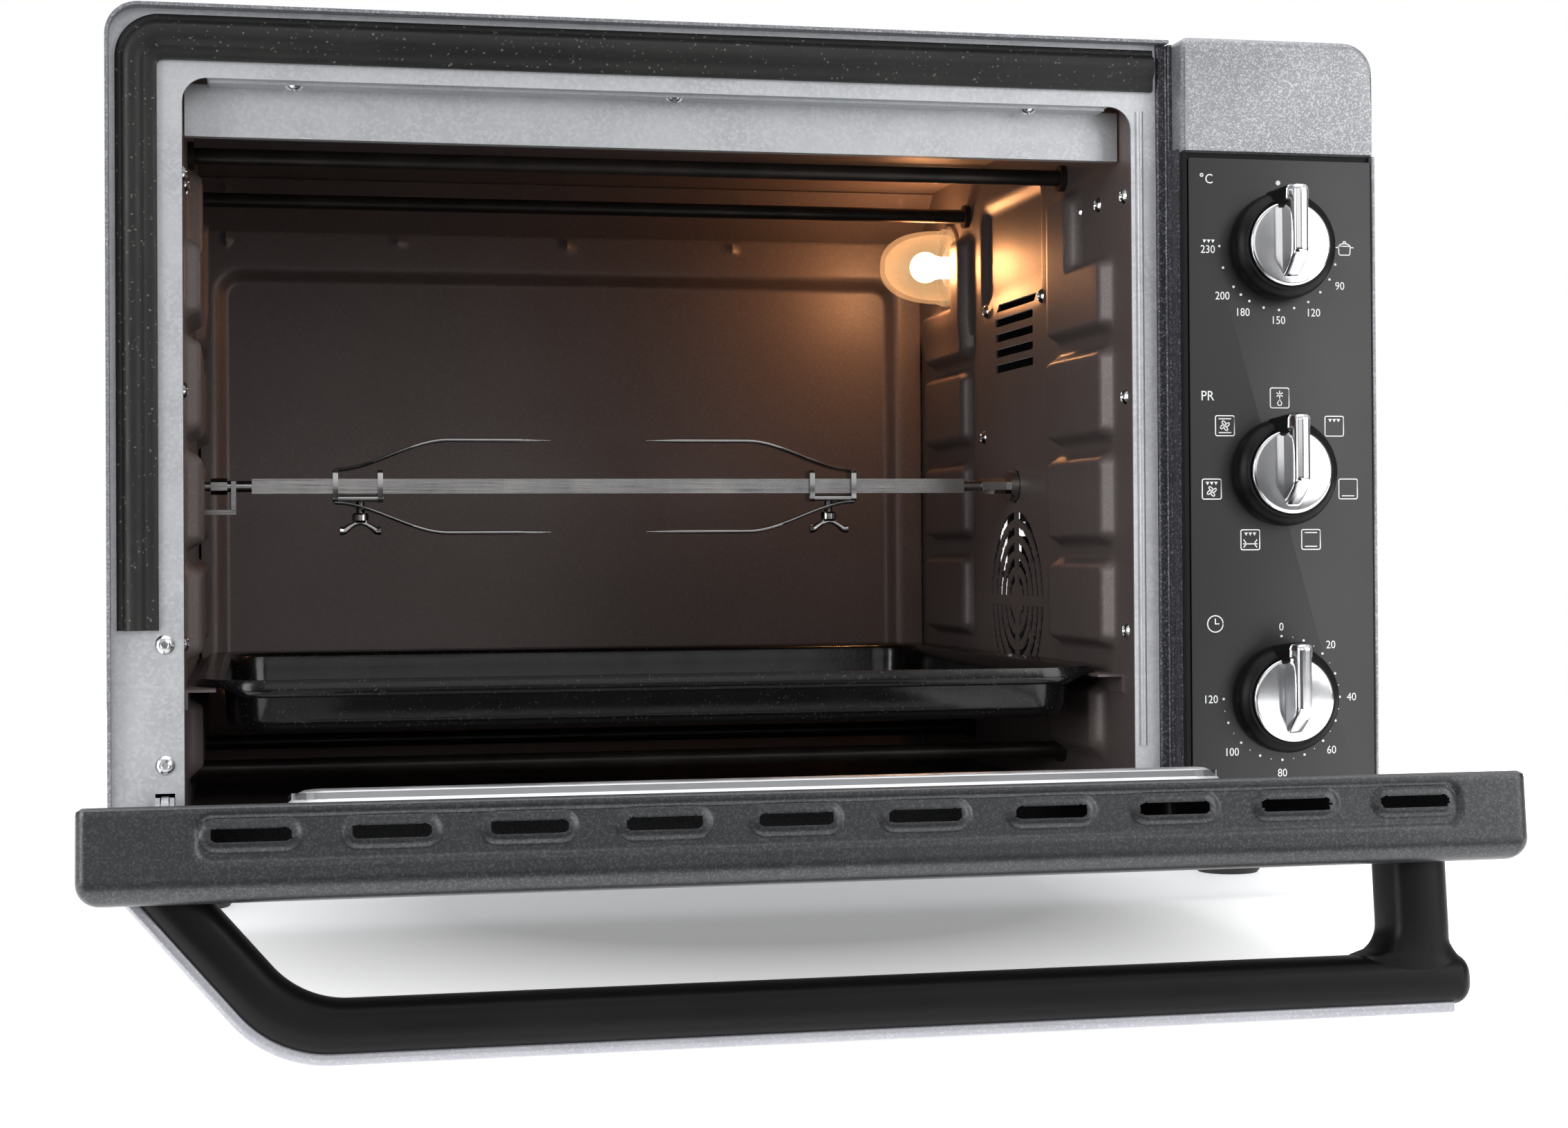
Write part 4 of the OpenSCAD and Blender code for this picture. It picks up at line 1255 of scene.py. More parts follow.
@dataclass
class Knob:
    """Rotary knob: a dark skirt with a lug, and a bright, hardly domed face with a grip bar."""

    name: str
    z: float
    x: float = 444.9
    skirt: float = 21.0
    face: float = 16.4
    back: float = -16.2

    def base(self) -> Surface:
        """Skirt turned about the spindle, and the lug behind the bar's upper end.

        Returns:
            Skirt and lug.
        """
        r = self.skirt
        profile = np.array([
            [0, 0], [r - 0.8, 0], [r - 0.1, 0.5], [r, 1.4], [r, 5.2], [r - 0.5, 6.6],
            [r - 1.6, 7.9], [r - 2.6, 8.5], [r - 3.0, 9.2], [r - 3.4, 9.6], [r - 4.3, 9.6],
            [self.face + 0.2, 9.2], [self.face + 0.1, 8.6], [0, 8.6]])
        turned = revolved(profile, (self.x, self.back, self.z), (0, -1, 0), 72)
        levels = np.linspace(0, 1, 9)
        half = 8.2 - 4.9 * levels ** 0.7
        low = 12.5 + 2.5 * levels
        high = 20.8 + 1.6 * np.sin(levels * math.pi / 2)
        y = self.back - 5.5 - 12.4 * levels
        rings = np.stack([
            np.insert(rounded_loop(self.x - h, self.z + a, self.x + h, self.z + b,
                                   [2.2, 2.2, 0.8, 0.8], 4), 1, level, axis=1)
            for h, a, b, level in zip(half, low, high, y)])
        return joined([turned, lofted(rings)])

    def cap(self) -> Surface:
        """The face, which rises 0.35 to its middle and has a soft rim, and the grip bar on it.

        The bar tapers from its root to its front, and its lower end slants back to the face.

        Returns:
            Face and grip bar.
        """
        r = np.append(np.linspace(0, self.face - 1.5, 6), self.face - np.array([0.9, 0.4, 0.1, 0]))
        t = np.linspace(0, 2 * math.pi, 96, endpoint=False)
        a, b = r[:, None] * np.cos(t), r[:, None] * np.sin(t)
        height = np.append(11.4 + 0.35 * (1 - (r[:6] / self.face) ** 2),
                           [11.42, 11.3, 11.0, 10.5])[:, None] + 0 * a
        top = np.stack([self.x + a, self.back - height, self.z + b], -1)
        foot = top[-1:].copy()
        foot[..., 1] = self.back - 8.8
        face = lofted(np.concatenate([top, foot]))
        level = np.concatenate([np.linspace(-13.6, 20.2, 40), [20.9, 21.4, 21.8, 22.1]])
        front = np.interp(level, [-13.6, -12.8, -6.4, -4.8, -3.4, 20.2, 21.4, 22.1],
                          [11.2, 12.6, 20.4, 21.6, 22.0, 22.0, 21.4, 20.2])
        under = np.interp(level, [-13.6, 15.4, 16.4, 22.1], [8.6, 8.6, 17.6, 17.9])
        width = np.interp(level, [-13.6, -12.6, -5, 20.2, 21.4, 22.1], [0.8, 0.97, 1, 1, 0.9, 0.6])
        half = np.concatenate([[4.6, 4.05, 3.85], np.linspace(3.75, 3.2, 4), [2.75, 1.9]])
        rings = []
        for v, f, u, w in zip(level, front, under, width):
            tall = f - u
            rise = u + np.append(np.linspace(0, 1, 7) * (tall - 1.5 * w), [tall - 0.45, tall])
            rise[:3] = u + np.array([0.0, 0.45, 1.1]) * min(1.0, tall / 4)
            rise = np.maximum.accumulate(rise)
            ring = np.column_stack([np.append(half, -half[::-1]) * w, np.append(rise, rise[::-1])])
            rings.append(np.column_stack([
                self.x + ring[:, 0], self.back - ring[:, 1], np.full(len(ring), self.z + v)]))
        return joined([face, lofted(np.stack(rings))])

    def build(self) -> None:
        """Makes the knob's two pieces on its own body."""
        body = f"{self.name}_knob"
        piece(f"{body}_skirt", self.base(), body, DARK_PLASTIC, [f"{body}_base"], 40)
        piece(f"{body}_face", self.cap(), body, KNOB_CHROME, [f"{body}_cap"], 40)


@dataclass
class Marks:
    """Printing round the three knobs: figures, dots and small pictures of the oven's ways of
    heating."""

    x: float = 444.9
    zs: tuple[float, float, float] = (255.0, 166.7, 78.4)
    plane: float = -14.8
    line: float = 0.42

    def polar(self, z: float, radius: float, degrees: float) -> tuple[float, float]:
        """Place at a clockwise angle from straight up."""
        a = math.radians(degrees)
        return self.x + radius * math.sin(a), z + radius * math.cos(a)

    def line_of(
        self, points: Sequence[tuple[float, float]], centre: tuple[float, float]
    ) -> Surface:
        """A stroke through points given off a centre."""
        return stroke(np.array(points, float) + centre, self.line, self.plane)

    def round_line(
        self, centre: tuple[float, float], radius: float, squash: float = 1.0, turn: float = 0.0
    ) -> Surface:
        """A ring, or an ellipse turned by some degrees.

        Args:
            centre: Middle, as x and z.
            radius: Radius, or half the longer axis.
            squash: Shorter axis over the longer.
            turn: Turn in degrees, anticlockwise.

        Returns:
            The printed line.
        """
        t, a = np.linspace(0, 2 * math.pi, 29), math.radians(turn)
        u, v = radius * np.cos(t), radius * squash * np.sin(t)
        c, s = math.cos(a), math.sin(a)
        return self.line_of(np.column_stack([u * c - v * s, u * s + v * c]), centre)

    def triangles(self, centre: tuple[float, float], pitch: float = 1.75) -> list[Surface]:
        """Three small filled triangles that point down.

        Args:
            centre: Middle of the row, as x and z.
            pitch: Step from one to the next.

        Returns:
            The three triangles.
        """
        tri = np.array([[-0.75, 0.55], [0.75, 0.55], [0.0, -0.75]])
        found = []
        for k in (-1, 0, 1):
            flat = tri + centre + [k * pitch, 0]
            rings = [np.insert(flat, 1, y, axis=1) for y in (self.plane, self.plane - INK)]
            found.append(lofted(np.stack(rings)))
        return found

    def fan(self, centre: tuple[float, float]) -> list[Surface]:
        """Four petals round a point."""
        return [self.round_line(
            (centre[0] + 1.15 * math.cos(a), centre[1] + 1.15 * math.sin(a)), 0.95, 0.55,
            math.degrees(a) + 25) for a in np.radians([20, 110, 200, 290])]

    def picture(self, index: int, c: tuple[float, float]) -> list[Surface]:
        """One of the seven small pictures in its rounded box.

        Args:
            index: Which way of heating, clockwise from the top.
            c: Middle, as x and z.

        Returns:
            Its printed lines.
        """
        box = rounded_loop(-3.9, -3.9, 3.9, 3.9, 0.7, 3)
        parts = [self.line_of(np.vstack([box, box[:1]]), c)]
        at = np.array(c)
        top, low = [(-2.6, 2.7), (2.6, 2.7)], [(-2.6, -2.7), (2.6, -2.7)]
        if index == 0:
            for a in np.radians([30, 90, 150]):
                arm = (1.5 * math.cos(a), 1.5 * math.sin(a))
                parts.append(self.line_of([(-arm[0], 1.3 - arm[1]), (arm[0], 1.3 + arm[1])], c))
            parts.append(self.line_of([(0, -0.6), (0.9, -2.0), (0.6, -2.8), (0, -3.0), (-0.6, -2.8),
                                       (-0.9, -2.0), (0, -0.6)], c))
        if index in (1, 4, 5):
            parts += self.triangles(tuple(at + [0, 2.3]))
        if index in (2, 3, 6):
            parts.append(self.line_of(low, c))
        if index in (3, 6):
            parts.append(self.line_of(top, c))
        if index == 4:
            parts.append(self.line_of([(-3.0, -1.6), (3.0, -1.6)], c))
            parts.append(self.line_of([(-2.8, 0.1), (-1.6, -1.6), (-2.8, -3.0)], c))
            parts.append(self.line_of([(2.8, 0.1), (1.6, -1.6), (2.8, -3.0)], c))
        if index in (5, 6):
            parts += self.fan(tuple(at + [0, -0.9 if index == 5 else 0.0]))
        return parts

    def pot(self, c: tuple[float, float]) -> list[Surface]:
        """A lidded pot with two handles.

        Args:
            c: Middle, as x and z.

        Returns:
            Its printed lines.
        """
        return [
            self.line_of([(-2.5, 0.9), (-2.3, -2.1), (-1.9, -2.6), (1.9, -2.6), (2.3, -2.1),
                          (2.5, 0.9), (-2.5, 0.9)], c),
            self.line_of([(-2.4, 1.0), (-1.5, 1.7), (0, 1.95), (1.5, 1.7), (2.4, 1.0)], c),
            self.line_of([(-0.5, 2.1), (-0.4, 2.7), (0.4, 2.7), (0.5, 2.1)], c),
            self.line_of([(-3.9, 0.4), (-2.6, 0.4)], c), self.line_of([(2.6, 0.4), (3.9, 0.4)], c)]

    def heat_marks(self) -> Surface:
        """Degrees round the upper knob.

        Returns:
            The printing.
        """
        z = self.zs[0]
        parts = [spot(*self.polar(z, 25.2, 0), 0.95, self.plane)]
        for a in (105, 120, 135, 150, 165, 180, 195, 210, 220, 230, 250, 270):
            parts.append(spot(*self.polar(z, 24.6, a), 0.5, self.plane))
        for text, a, r in (("90", 120, 29.6), ("120", 150, 29.4), ("150", 180, 28.6),
                           ("180", 210, 29.6), ("200", 230.5, 30.4), ("230", 267.5, 29.4)):
            parts.append(lettering(text, *self.polar(z, r, a), 3.1, self.plane))
        parts.append(lettering("C", 416.2, z + 26.2, 3.7, self.plane))
        parts.append(self.round_line((413.2, z + 27.6), 0.55))
        return joined(parts + self.triangles((415.9, z + 1.9)) + self.pot((472.6, z)))

    def way_marks(self) -> Surface:
        """Pictures round the middle knob.

        Returns:
            The printing.
        """
        z = self.zs[1]
        parts = [lettering("PR", 415.1, z + 29.9, 3.7, self.plane)]
        for i in range(7):
            parts += self.picture(i, self.polar(z, 29.2, i * 360 / 7))
        return joined(parts)

    def time_marks(self) -> Surface:
        """Minutes round the lower knob, and a clock.

        Returns:
            The printing.
        """
        z, parts = self.zs[2], []
        for i in range(25):
            radius = 0.22 if i % 2 else 0.5
            parts.append(spot(*self.polar(z, 24.2, i * 11.25), radius, self.plane))
        for i in range(7):
            r = 29.2 if i else 27.9
            parts.append(lettering(str(i * 20), *self.polar(z, r, i * 45), 3.1, self.plane))
        c = (417.5, z + 29.3)
        parts += [self.round_line(c, 3.2), self.line_of([(0, 2.1), (0, 0), (1.6, 0)], c)]
        return joined(parts)

    def build(self) -> None:
        """Prints the three groups on the panel."""
        for name, marks in (("heat_marks", self.heat_marks()), ("way_marks", self.way_marks()),
                            ("time_marks", self.time_marks())):
            piece(name, marks, "case", PRINT_WHITE)


@dataclass
class Console:
    """Control console: silver cap, ribbed side column, glossy panel, printing and knobs."""

    left: float = 405.3
    right: float = 485.5
    front: float = -15.4
    top: float = 336.5
    cap_low: float = 291.5
    foot: float = 18.0
    roll: float = 3.6
    corner: float = 12.0

    def cap(self) -> Surface:
        """Silver cap: an arch with a large upper right and a small upper left corner, whose front
        edge is rolled over by a quarter round of 3.6.

        Returns:
            The closed cap.
        """
        a = np.radians(np.linspace(0, 90, 8))
        inset = np.concatenate([self.roll * (1 - np.sin(a)), [0.0]])
        depth = np.concatenate([self.front + self.roll * (1 - np.cos(a)), [20.0]])
        rings = []
        for i, y in zip(inset, depth):
            side = min(i, 1.2)
            loop = rounded_loop(self.left + side, self.cap_low + min(i, 0.6),
                                self.right - side, self.top - i,
                                [self.corner - side, 3.6 - side * 0.8, 0.5, 0.5], 8)
            rings.append(np.insert(loop, 1, y, axis=1))
        return lofted(np.stack(rings))

    def edge(self) -> Surface:
        """Thin silver edge that runs down the console's right side from the cap."""
        loop = rounded_loop(self.right - 1.2, self.front, self.right, 20, 0.5, 4)
        return lofted(np.stack([np.insert(loop, 2, z, axis=1) for z in (self.foot, self.cap_low)]))

    def column(self) -> Surface:
        """Ribbed side between the mouth's frame and the panel: a stepped outline in plan with
        rounded arrises, carried from foot to top.

        Returns:
            Lower and upper stretch.
        """
        lower = np.array([
            [399.9, 20], [399.9, -0.9], [400.5, -1.5], [403.1, -1.5], [403.6, -1.9], [403.6, -3.6],
            [403.8, -4.0], [404.3, -4.2], [404.5, -4.9], [404.5, -10.8], [404.8, -11.4],
            [405.3, -11.6], [405.3, 20]])
        lift = (self.foot + 1.2, self.cap_low + 1.5)
        low = lofted(np.stack([np.insert(lower, 2, z, axis=1) for z in lift]))
        upper = np.array([
            [399.9, 20], [399.9, -0.9], [400.5, -1.5], [403.1, -1.5], [403.6, -1.9], [403.6, -3.6],
            [404.0, -4.0], [404.9, -4.0], [405.3, -3.8], [405.3, 20]])
        lift = (self.cap_low + 1.5, self.top - 3.4, self.top - 1.4)
        high = lofted(np.stack([np.insert(upper, 2, z, axis=1) for z in lift]))
        return joined([low, high])

    def panel(self) -> Surface:
        """Glossy panel with a hair-fine bevel all round.

        Returns:
            The closed panel.
        """
        box = (self.left + 2.4, self.foot + 1.6, self.right - 1.6, self.cap_low - 2.2)
        bevel = np.array([[0, 3.0], [0, 0.9], [0.12, 0.68], [0.35, 0.6]]) + [0, self.front]
        rings = framed(box, 0.8, bevel, 4)
        return lofted(rings[..., [0, 2, 1]])

    def build(self) -> None:
        """Makes the console's pieces, its printing and its knobs."""
        piece("console_top", self.cap(), "case", CAP_SILVER, ["console_cap"], 50)
        piece("console_edge", self.edge(), "case", CAP_SILVER)
        piece("console_side", self.column(), "case", COLUMN_GREY, ["console_column"], 30)
        dress(DARK_PLASTIC, "console_chassis")
        piece("console_panel", self.panel(), "case", GLOSS_BLACK, ["control_fascia"], 20)
        Marks().build()
        for name, z in zip(("thermostat", "function", "timer"), Marks().zs):
            Knob(name, z).build()


# ------------------------------------------------------------------ door


@dataclass
class Door:
    """Drop-down door: pressed skin, inner panel, two panes and the handle."""

    left: float = 8.3
    right: float = 403.4
    low: float = 46.5
    top: float = 332.3
    back: float = -6.0
    front: float = -29.0
    slot_x: float = 50.6
    slot_pitch: float = 35.44
    slots: int = 10
    slot: tuple[float, float, float, float] = (-10.3, -14.6, 10.3, -11.0)
    slot_corner: float = 1.79
    band: tuple[float, float, float, float] = (36.0, -20.6, 384.0, -6.9)
    window: tuple[float, float, float, float] = (46.0, 84.0, 365.6, 262.0)
    surround: tuple[float, float, float, float] = (60.5, 64.5, 349.0, 249.5)
    front_roll: float = 5.0
    edge_points: int = 520

    def edge_openings(self, x: Array, y: Array) -> Array:
        """Distance to the nearest vent slot in the door's upper edge.

        Args:
            x: Place of each point along the edge.
            y: Depth of each point.

        Returns:
            One distance per point, negative inside a slot.
        """
        near = np.round((x - self.slot_x) / self.slot_pitch).clip(0, self.slots - 1)
        return box_distance(x - self.slot_x - near * self.slot_pitch, y, *self.slot,
                            self.slot_corner)

    def edge_relief(self, x: Array, y: Array) -> Array:
        """Height of the upper edge's stamping: a band sinks by 0.7, and a soft lip 1.9 wide
        stands 0.6 proud round each slot.

        Args:
            x: Place of each point along the edge.
            y: Depth of each point.

        Returns:
            Millimetres out of the edge.
        """
        band = 0.7 * eased(-box_distance(x, y, *self.band, 5) / 1.6)
        lip = self.edge_openings(x, y)
        return 0.75 * eased(1.25 - lip / 2.2) * eased(lip + 1.4) - band

    def edged(self, loop: Array) -> Array:
        """Adds even points along a ring's upper side.

        Args:
            loop: A rounded rectangle with 6 steps in each corner.

        Returns:
            The ring with its upper side cut into edge_points - 1 parts.
        """
        start, stop = loop[6], loop[7]
        top = start + (stop - start) * np.linspace(0, 1, self.edge_points)[1:-1, None]
        return np.vstack([loop[:7], top, loop[7:]])

    def skin(self) -> Surface:
        """The door's pressed skin as one closed sheet.

        Rings run from the rear flange out to the sides, forward, over a rolled front edge and in
        to the window. Their upper side carries many points, so that the stamped band and the
        slots are moved and cut there.

        Returns:
            The skin, swung open.
        """
        a = np.radians(np.linspace(0, 90, 8))[1:]
        roll, front = self.front_roll, self.front
        side_y = np.linspace(self.back - 0.5, front + roll, 38)
        inset = np.concatenate([[9.0, 0.7], 0 * side_y, roll * (1 - np.cos(a)), [20.0]])
        level = np.concatenate([[self.back, self.back], side_y, front + roll - roll * np.sin(a),
                                [front]])
        rings = []
        for i, y in zip(inset, level):
            r = max(5.0 - min(i, 4.2), 0.8)
            loop = rounded_loop(self.left + i, self.low + i, self.right - i, self.top - i,
                                [r * 0.35 + 0.4, r * 0.35 + 0.4, r, r], 6)
            rings.append(np.insert(self.edged(loop), 1, y, axis=1))
        window = self.edged(rounded_loop(*self.window, 8, 6))
        rings += [np.insert(window, 1, y, axis=1) for y in (front, front + 1.2)]
        grid = np.stack(rings)
        flat = np.abs(grid[..., 2] - self.top) < 0.01
        moved = np.stack(snapped(grid[..., 0], grid[..., 1], self.edge_openings, 0.36), -1)
        grid[..., :2] = np.where(flat[..., None], moved, grid[..., :2])
        grid[..., 2] += np.where(flat, self.edge_relief(grid[..., 0], grid[..., 1]), 0)
        nxt = np.roll(grid, -1, 1)
        middle = (grid[:-1] + nxt[:-1] + grid[1:] + nxt[1:]) / 4
        on_top = middle[..., 2] > self.top - 2
        keep = ~(on_top & (self.edge_openings(middle[..., 0], middle[..., 1]) < 0))
        return sheet(grid, keep, 1.0, wrap=True).moved(swung)

    def liner(self) -> Surface:
        """Bright inner side: a flat margin, a raised bevelled surround and the pane's opening.

        Returns:
            The inner panel, swung open.
        """
        box = (self.left + 1.2, self.low + 1.2, self.right - 1.2, self.top - 1.2)
        flat = framed(box, 2.0, np.array([[0, -7.2], [0, -6.0], [2, -6.0]]), 6)
        rise = framed(self.surround, 12.0, np.array([
            [-3, -6.0], [-0.6, -5.6], [1.4, -3.4], [3.4, -1.4], [5.2, -0.5], [8.0, -0.2],
            [14.4, -0.2], [15.6, -0.6], [16.0, -1.4]]), 6)
        under = framed(self.surround, 12.0, np.array([
            [16.0, -1.9], [3.0, -1.9], [3.0, -7.2], [-8, -7.2]]), 6)
        rings = np.concatenate([flat, rise, under, flat[:1]])
        return lofted(rings[..., [0, 2, 1]], False).moved(swung)

    def build(self) -> None:
        """Makes the door's pieces and dresses the panes."""
        piece("door_skin", self.skin(), "door", DOOR_GREY, ["door_frame"], 40)
        piece("door_liner", self.liner(), "door", BRIGHT_STEEL, ["door_inner_panel"], 40)
        dress(DOOR_GLASS, "door_glass_outer", "door_glass_inner")
        Handle().build()


@dataclass
class Handle:
    """Bar handle across the door's upper edge, with a silver trim along its outer side."""

    door_front: float = -29.0
    out: float = 41.8
    thick: float = 14.8
    z: float = 312.5
    half_height: float = 10.0
    lean: float = 221.0
    bend_x: float = 71.0
    bend: float = 32.0
    inner_bend_x: float = 75.7
    inner_bend: float = 26.0
    foot_x: float = 20.4
    foot_width: float = 20.0
    end_x: float = 386.0
    trim: float = 2.2
    trim_end_x: float = 384.6

    def side(
        self, radius: float, centre: tuple[float, float], start: float,
        foot: tuple[float, float], end_x: float,
    ) -> Array:
        """One long side of the bar in plan: from the foot straight to a bend, round it and on
        along the bar to end_x, as 24 + 24 + 30 points.

        Args:
            radius: Radius of the bend.
            centre: The bend's centre, as x and y.
            start: Angle in degrees where the bend begins.
            foot: Where the leg meets the door.
            end_x: Where the side ends.

        Returns:
            Rows of x, y.
        """
        a = np.radians(np.linspace(start, 270, 24))
        bend = np.column_stack([centre[0] + radius * np.cos(a), centre[1] + radius * np.sin(a)])
        leg = np.array(foot) + (bend[0] - foot) * np.linspace(0, 1, 25)[:-1, None]
        end = np.array([end_x, bend[-1, 1]])
        run = bend[-1] + (end - bend[-1]) * np.linspace(0, 1, 31)[1:, None]
        return np.vstack([leg, bend, run])

    def between(self, outer: Array, inner: Array, power: float, height: Array | float) -> Surface:
        """Superellipse rings stretched from an outer to an inner side in plan.

        Args:
            outer: Outer side, rows of x, y.
            inner: Inner side, as many rows.
            power: Squareness of the section.
            height: Half height, one for all rings or one for each.

        Returns:
            The closed bar.
        """
        ring = squircle(1, 1, power, 44)
        middle, half = (outer + inner) / 2, (outer - inner) / 2
        plan = middle[:, None] + half[:, None] * ring[None, :, :1]
        tall = np.broadcast_to(np.asarray(height, float), len(outer))[:, None]
        z = self.z + tall * ring[None, :, 1]
        return lofted(np.dstack([plan, z]))

    def bar(self) -> Surface:
        """The bar with its slanting left leg, and the straight right post that flares into it.

        Returns:
            Bar and post, swung open.
        """
        out = self.door_front - self.out
        foot = (self.foot_x, self.door_front)
        outer = self.side(self.bend, (self.bend_x, out + self.bend), self.lean, foot, self.end_x)
        centre = (self.inner_bend_x, out + self.thick + self.inner_bend)
        foot = (self.foot_x + self.foot_width, self.door_front)
        inner = self.side(self.inner_bend, centre, self.lean, foot, self.end_x)
        height = np.full(len(outer), self.half_height)
        s = np.linspace(0, 1, 9)[1:, None]
        shut = np.sqrt(1 - s ** 2 * 0.96)
        middle = (outer[-1:] + inner[-1:]) / 2 + np.array([[5.0, 0]]) * s
        half = (outer[-1] - inner[-1]) / 2 * shut
        outer, inner = np.vstack([outer, middle + half]), np.vstack([inner, middle - half])
        height = np.append(height, self.half_height * (0.25 + 0.75 * shut[:, 0]))
        long_bar = self.between(outer, inner, 2.9, height)
        y = np.linspace(self.door_front, out + 8, 26)
        reach = np.clip((out + self.thick + 8.8 - y) / 8.8, 0, 1)
        left = 366.8 - 8.8 * (1 - np.sqrt(1 - reach ** 2))
        right = 385.6 + 5.2 * eased((out + self.thick + 4 - y) / 9)
        post = self.between(np.column_stack([right, y]), np.column_stack([left, y]), 3.0,
                            self.half_height - 0.3)
        return joined([long_bar, post]).moved(swung)

    def strip(self) -> Surface:
        """Silver strip 2.2 thick that follows the bar's outer side and ends short of its right
        end.

        Returns:
            The strip, swung open.
        """
        out = self.door_front - self.out
        centre, foot = (self.bend_x, out + self.bend), (self.foot_x, self.door_front)
        inner = self.side(self.bend, centre, self.lean, foot, self.trim_end_x)
        foot = (self.foot_x - 2.9, self.door_front)
        outer = self.side(self.bend + self.trim, centre, self.lean, foot, self.trim_end_x)
        inner = inner + (inner - outer) * 0.8
        return self.between(outer, inner, 4.0, self.half_height - 2.6).moved(swung)

    def build(self) -> None:
        """Makes the bar and its trim on the door."""
        piece("handle_bar", self.bar(), "door", DARK_PLASTIC, ["door_handle"], 50)
        piece("handle_trim", self.strip(), "door", TRIM_SILVER, ["door_handle_trim"], 50)


# ------------------------------------------------------------------ studio


@dataclass(frozen=True)
class SoftLight:
    """A soft rectangular light: its place, the point it faces, its size and its watts."""

    name: str
    at: tuple[float, float, float]
    target: tuple[float, float, float]
    size: tuple[float, float]
    power: float


LIGHTS: tuple[SoftLight, ...] = (
    SoftLight("overhead", (0.0, -0.1, 1.6), (0.0, 0.0, 0.0), (1.8, 1.8), 13.0),
    SoftLight("front card", (-0.1, -2.7, 0.8), (0.0, 0.0, 0.2), (2.0, 1.1), 5.0),
    SoftLight("left front", (-1.45, -1.0, 0.4), (0.1, -0.05, 0.17), (0.7, 1.0), 13.0),
    SoftLight("right front", (1.5, -1.9, 0.8), (0.15, -0.1, 0.2), (1.0, 1.5), 17.0),
)


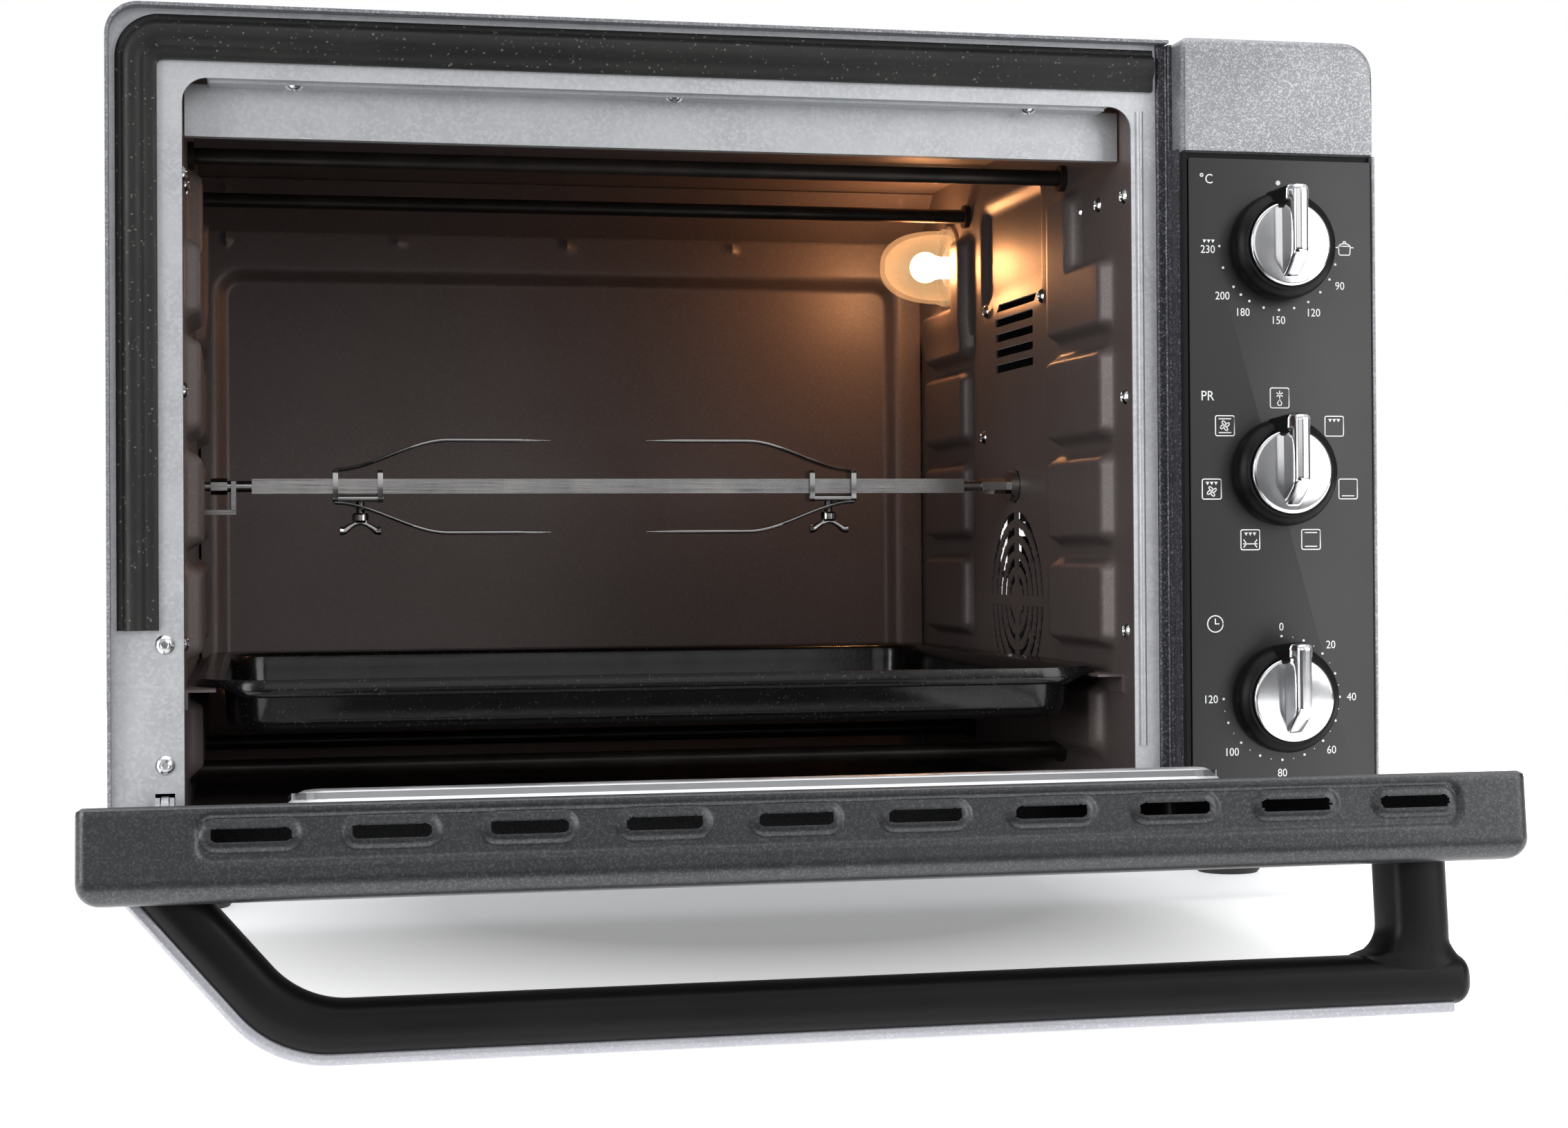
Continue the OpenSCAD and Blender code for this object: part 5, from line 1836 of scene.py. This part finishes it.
@dataclass(frozen=True)
class Studio:
    """Pale floor, soft lights and the camera."""

    eye: tuple[float, float, float] = (-0.191207, -0.995496, 0.136879)
    turn: tuple[float, float, float] = (-12.2505, 0.4657, 0.3596)
    lens: float = 58.672
    shift: tuple[float, float] = (-0.015404, -0.021205)
    floor_radius: float = 1.4
    lamp_power: float = 1.35
    flag_box: tuple[float, float, float, float] = (-1.3, 0.3, -1.38, -0.42)

    def camera(self) -> None:
        """Sets the camera: its turns about z, x and y are applied in that order."""
        data = bpy.data.cameras.new("camera")
        data.lens, data.sensor_width = self.lens, 36.0
        data.shift_x, data.shift_y = self.shift
        data.clip_start = 0.01
        obj = bpy.data.objects.new("camera", data)
        z, x, y = (math.radians(v) for v in self.turn)
        turn = Matrix.Rotation(z, 4, "Z") @ Matrix.Rotation(x, 4, "X") @ Matrix.Rotation(y, 4, "Y")
        level = Matrix.Rotation(math.pi / 2, 4, "X")
        obj.matrix_world = Matrix.Translation(self.eye) @ turn @ level
        bpy.context.scene.collection.objects.link(obj)
        bpy.context.scene.camera = obj

    def stage(self, name: str, outline: Array, tree: Tree) -> bpy.types.Object:
        """Makes one flat card of the studio.

        Args:
            name: The card's name.
            outline: Its corners in metres, in order.
            tree: The tree of its material.

        Returns:
            The card, kept apart from the part.
        """
        mesh = bpy.data.meshes.new(name)
        mesh.from_pydata(outline.tolist(), [], [list(range(len(outline)))])
        mesh.materials.append(tree.material)
        obj = bpy.data.objects.new(name, mesh)
        bpy.context.scene.collection.objects.link(obj)
        return obj

    def floor(self) -> None:
        """A plain pale round floor that glows from within: dimly near the oven, a painted shade
        round its foot, and more towards its edge, so that it fades into the white surroundings."""
        tree = Tree("pale floor")
        shade = tree.mixed(tree.noise(3.0), (0.9, 0.9, 0.9), (0.93, 0.93, 0.93))
        tree.links.new(shade, tree.shader.inputs["Base Color"])
        length = tree.nodes.new("ShaderNodeVectorMath")
        length.operation = "LENGTH"
        tree.links.new(tree.place, length.inputs[0])
        # Painted shade: the glow is 0.25 within 0.12 of the oven's middle and rises to 0.98 by
        # 0.32.
        glow = tree.spread(length.outputs["Value"], 0.12, 0.32, 0.25, 0.98)
        tree.links.new(glow, tree.shader.inputs["Emission Strength"])
        tree.constant(Roughness=0.6, Emission_Color=(1, 1, 1, 1))
        t = np.linspace(0, 2 * math.pi, 96, endpoint=False)
        disc = np.column_stack([np.cos(t), np.sin(t), 0 * t]) * self.floor_radius
        self.stage("floor", disc, tree)

    def flag(self) -> None:
        """A low black card in front, out of the eye's view, that darkens reflections."""
        tree = Tree("flag black")
        shade = tree.mixed(tree.noise(3.0), (0.01, 0.01, 0.01), (0.015, 0.015, 0.015))
        tree.links.new(shade, tree.shader.inputs["Base Color"])
        tree.constant(Roughness=0.9, Specular_IOR_Level=0.0)
        left, right, near, far = self.flag_box
        corners = [(left, near), (right, near), (right, far), (left, far)]
        obj = self.stage("flag", np.insert(corners, 2, 0.004, axis=1), tree)
        obj.visible_camera, obj.visible_shadow = False, False

    def soft(self, light: SoftLight) -> None:
        """Hangs one soft light.

        Args:
            light: Its sizes and place.
        """
        data = bpy.data.lights.new(light.name, "AREA")
        data.shape, data.energy = "RECTANGLE", light.power
        data.size, data.size_y = light.size
        obj = bpy.data.objects.new(light.name, data)
        obj.location = light.at
        aim = Vector(light.target) - Vector(light.at)
        obj.rotation_euler = aim.to_track_quat("-Z", "Y").to_euler()
        bpy.context.scene.collection.objects.link(obj)

    def glow(self, at: Sequence[float], power: float) -> None:
        """Warm point light at the oven's lamp.

        Args:
            at: Its place in metres.
            power: Its power in watts.
        """
        data = bpy.data.lights.new("lamp light", "POINT")
        data.energy, data.color, data.shadow_soft_size = power, (1.0, 0.42, 0.16), 0.008
        obj = bpy.data.objects.new("lamp light", data)
        obj.location = at
        bpy.context.scene.collection.objects.link(obj)

    def world(self) -> None:
        """White surroundings to the eye, and a dimmer soft sky for lighting and reflections."""
        world = bpy.data.worlds.new("studio")
        world.use_nodes = True
        nodes, links = world.node_tree.nodes, world.node_tree.links
        nodes.clear()
        out = nodes.new("ShaderNodeOutputWorld")
        mix = nodes.new("ShaderNodeMixShader")
        seen, lit = nodes.new("ShaderNodeBackground"), nodes.new("ShaderNodeBackground")
        seen.inputs[0].default_value = (1, 1, 1, 1)
        seen.inputs[1].default_value = 1.0
        lit.inputs[0].default_value = (0.97, 0.98, 1.0, 1)
        where, split = nodes.new("ShaderNodeTexCoord"), nodes.new("ShaderNodeSeparateXYZ")
        links.new(where.outputs["Generated"], split.inputs[0])
        total = nodes.new("ShaderNodeMath")
        for i, (axis, low, high, dim, bright) in enumerate((
                ("Z", -0.05, 0.9, 0.08, 0.85), ("Y", 0.1, 0.9, 0.0, 0.45))):
            ramp = nodes.new("ShaderNodeMapRange")
            set_range(ramp, low, high, dim, bright)
            links.new(split.outputs[axis], ramp.inputs["Value"])
            links.new(ramp.outputs[0], total.inputs[i])
        links.new(total.outputs[0], lit.inputs[1])
        path = nodes.new("ShaderNodeLightPath")
        links.new(path.outputs["Is Camera Ray"], mix.inputs[0])
        links.new(lit.outputs[0], mix.inputs[1])
        links.new(seen.outputs[0], mix.inputs[2])
        links.new(mix.outputs[0], out.inputs[0])
        bpy.context.scene.world = world

    def build(self) -> None:
        """Sets the whole studio."""
        bpy.context.scene.view_settings.view_transform = "Standard"
        self.camera()
        self.floor()
        self.flag()
        self.world()
        for light in LIGHTS:
            self.soft(light)
        lamp = row(np.array(LAMP) - [13.0, 2.5, 0.0])
        self.glow(lamp.tolist(), self.lamp_power)


def main() -> None:
    """Builds the studio and every sub-assembly, in order."""
    Studio().build()
    log.info("studio set")
    for part in (CaseBody(), Cavity(), SpitAndTray(), Console(), Door()):
        part.build()
        log.info("%s done", type(part).__name__)


if __name__ == "__main__":
    main()
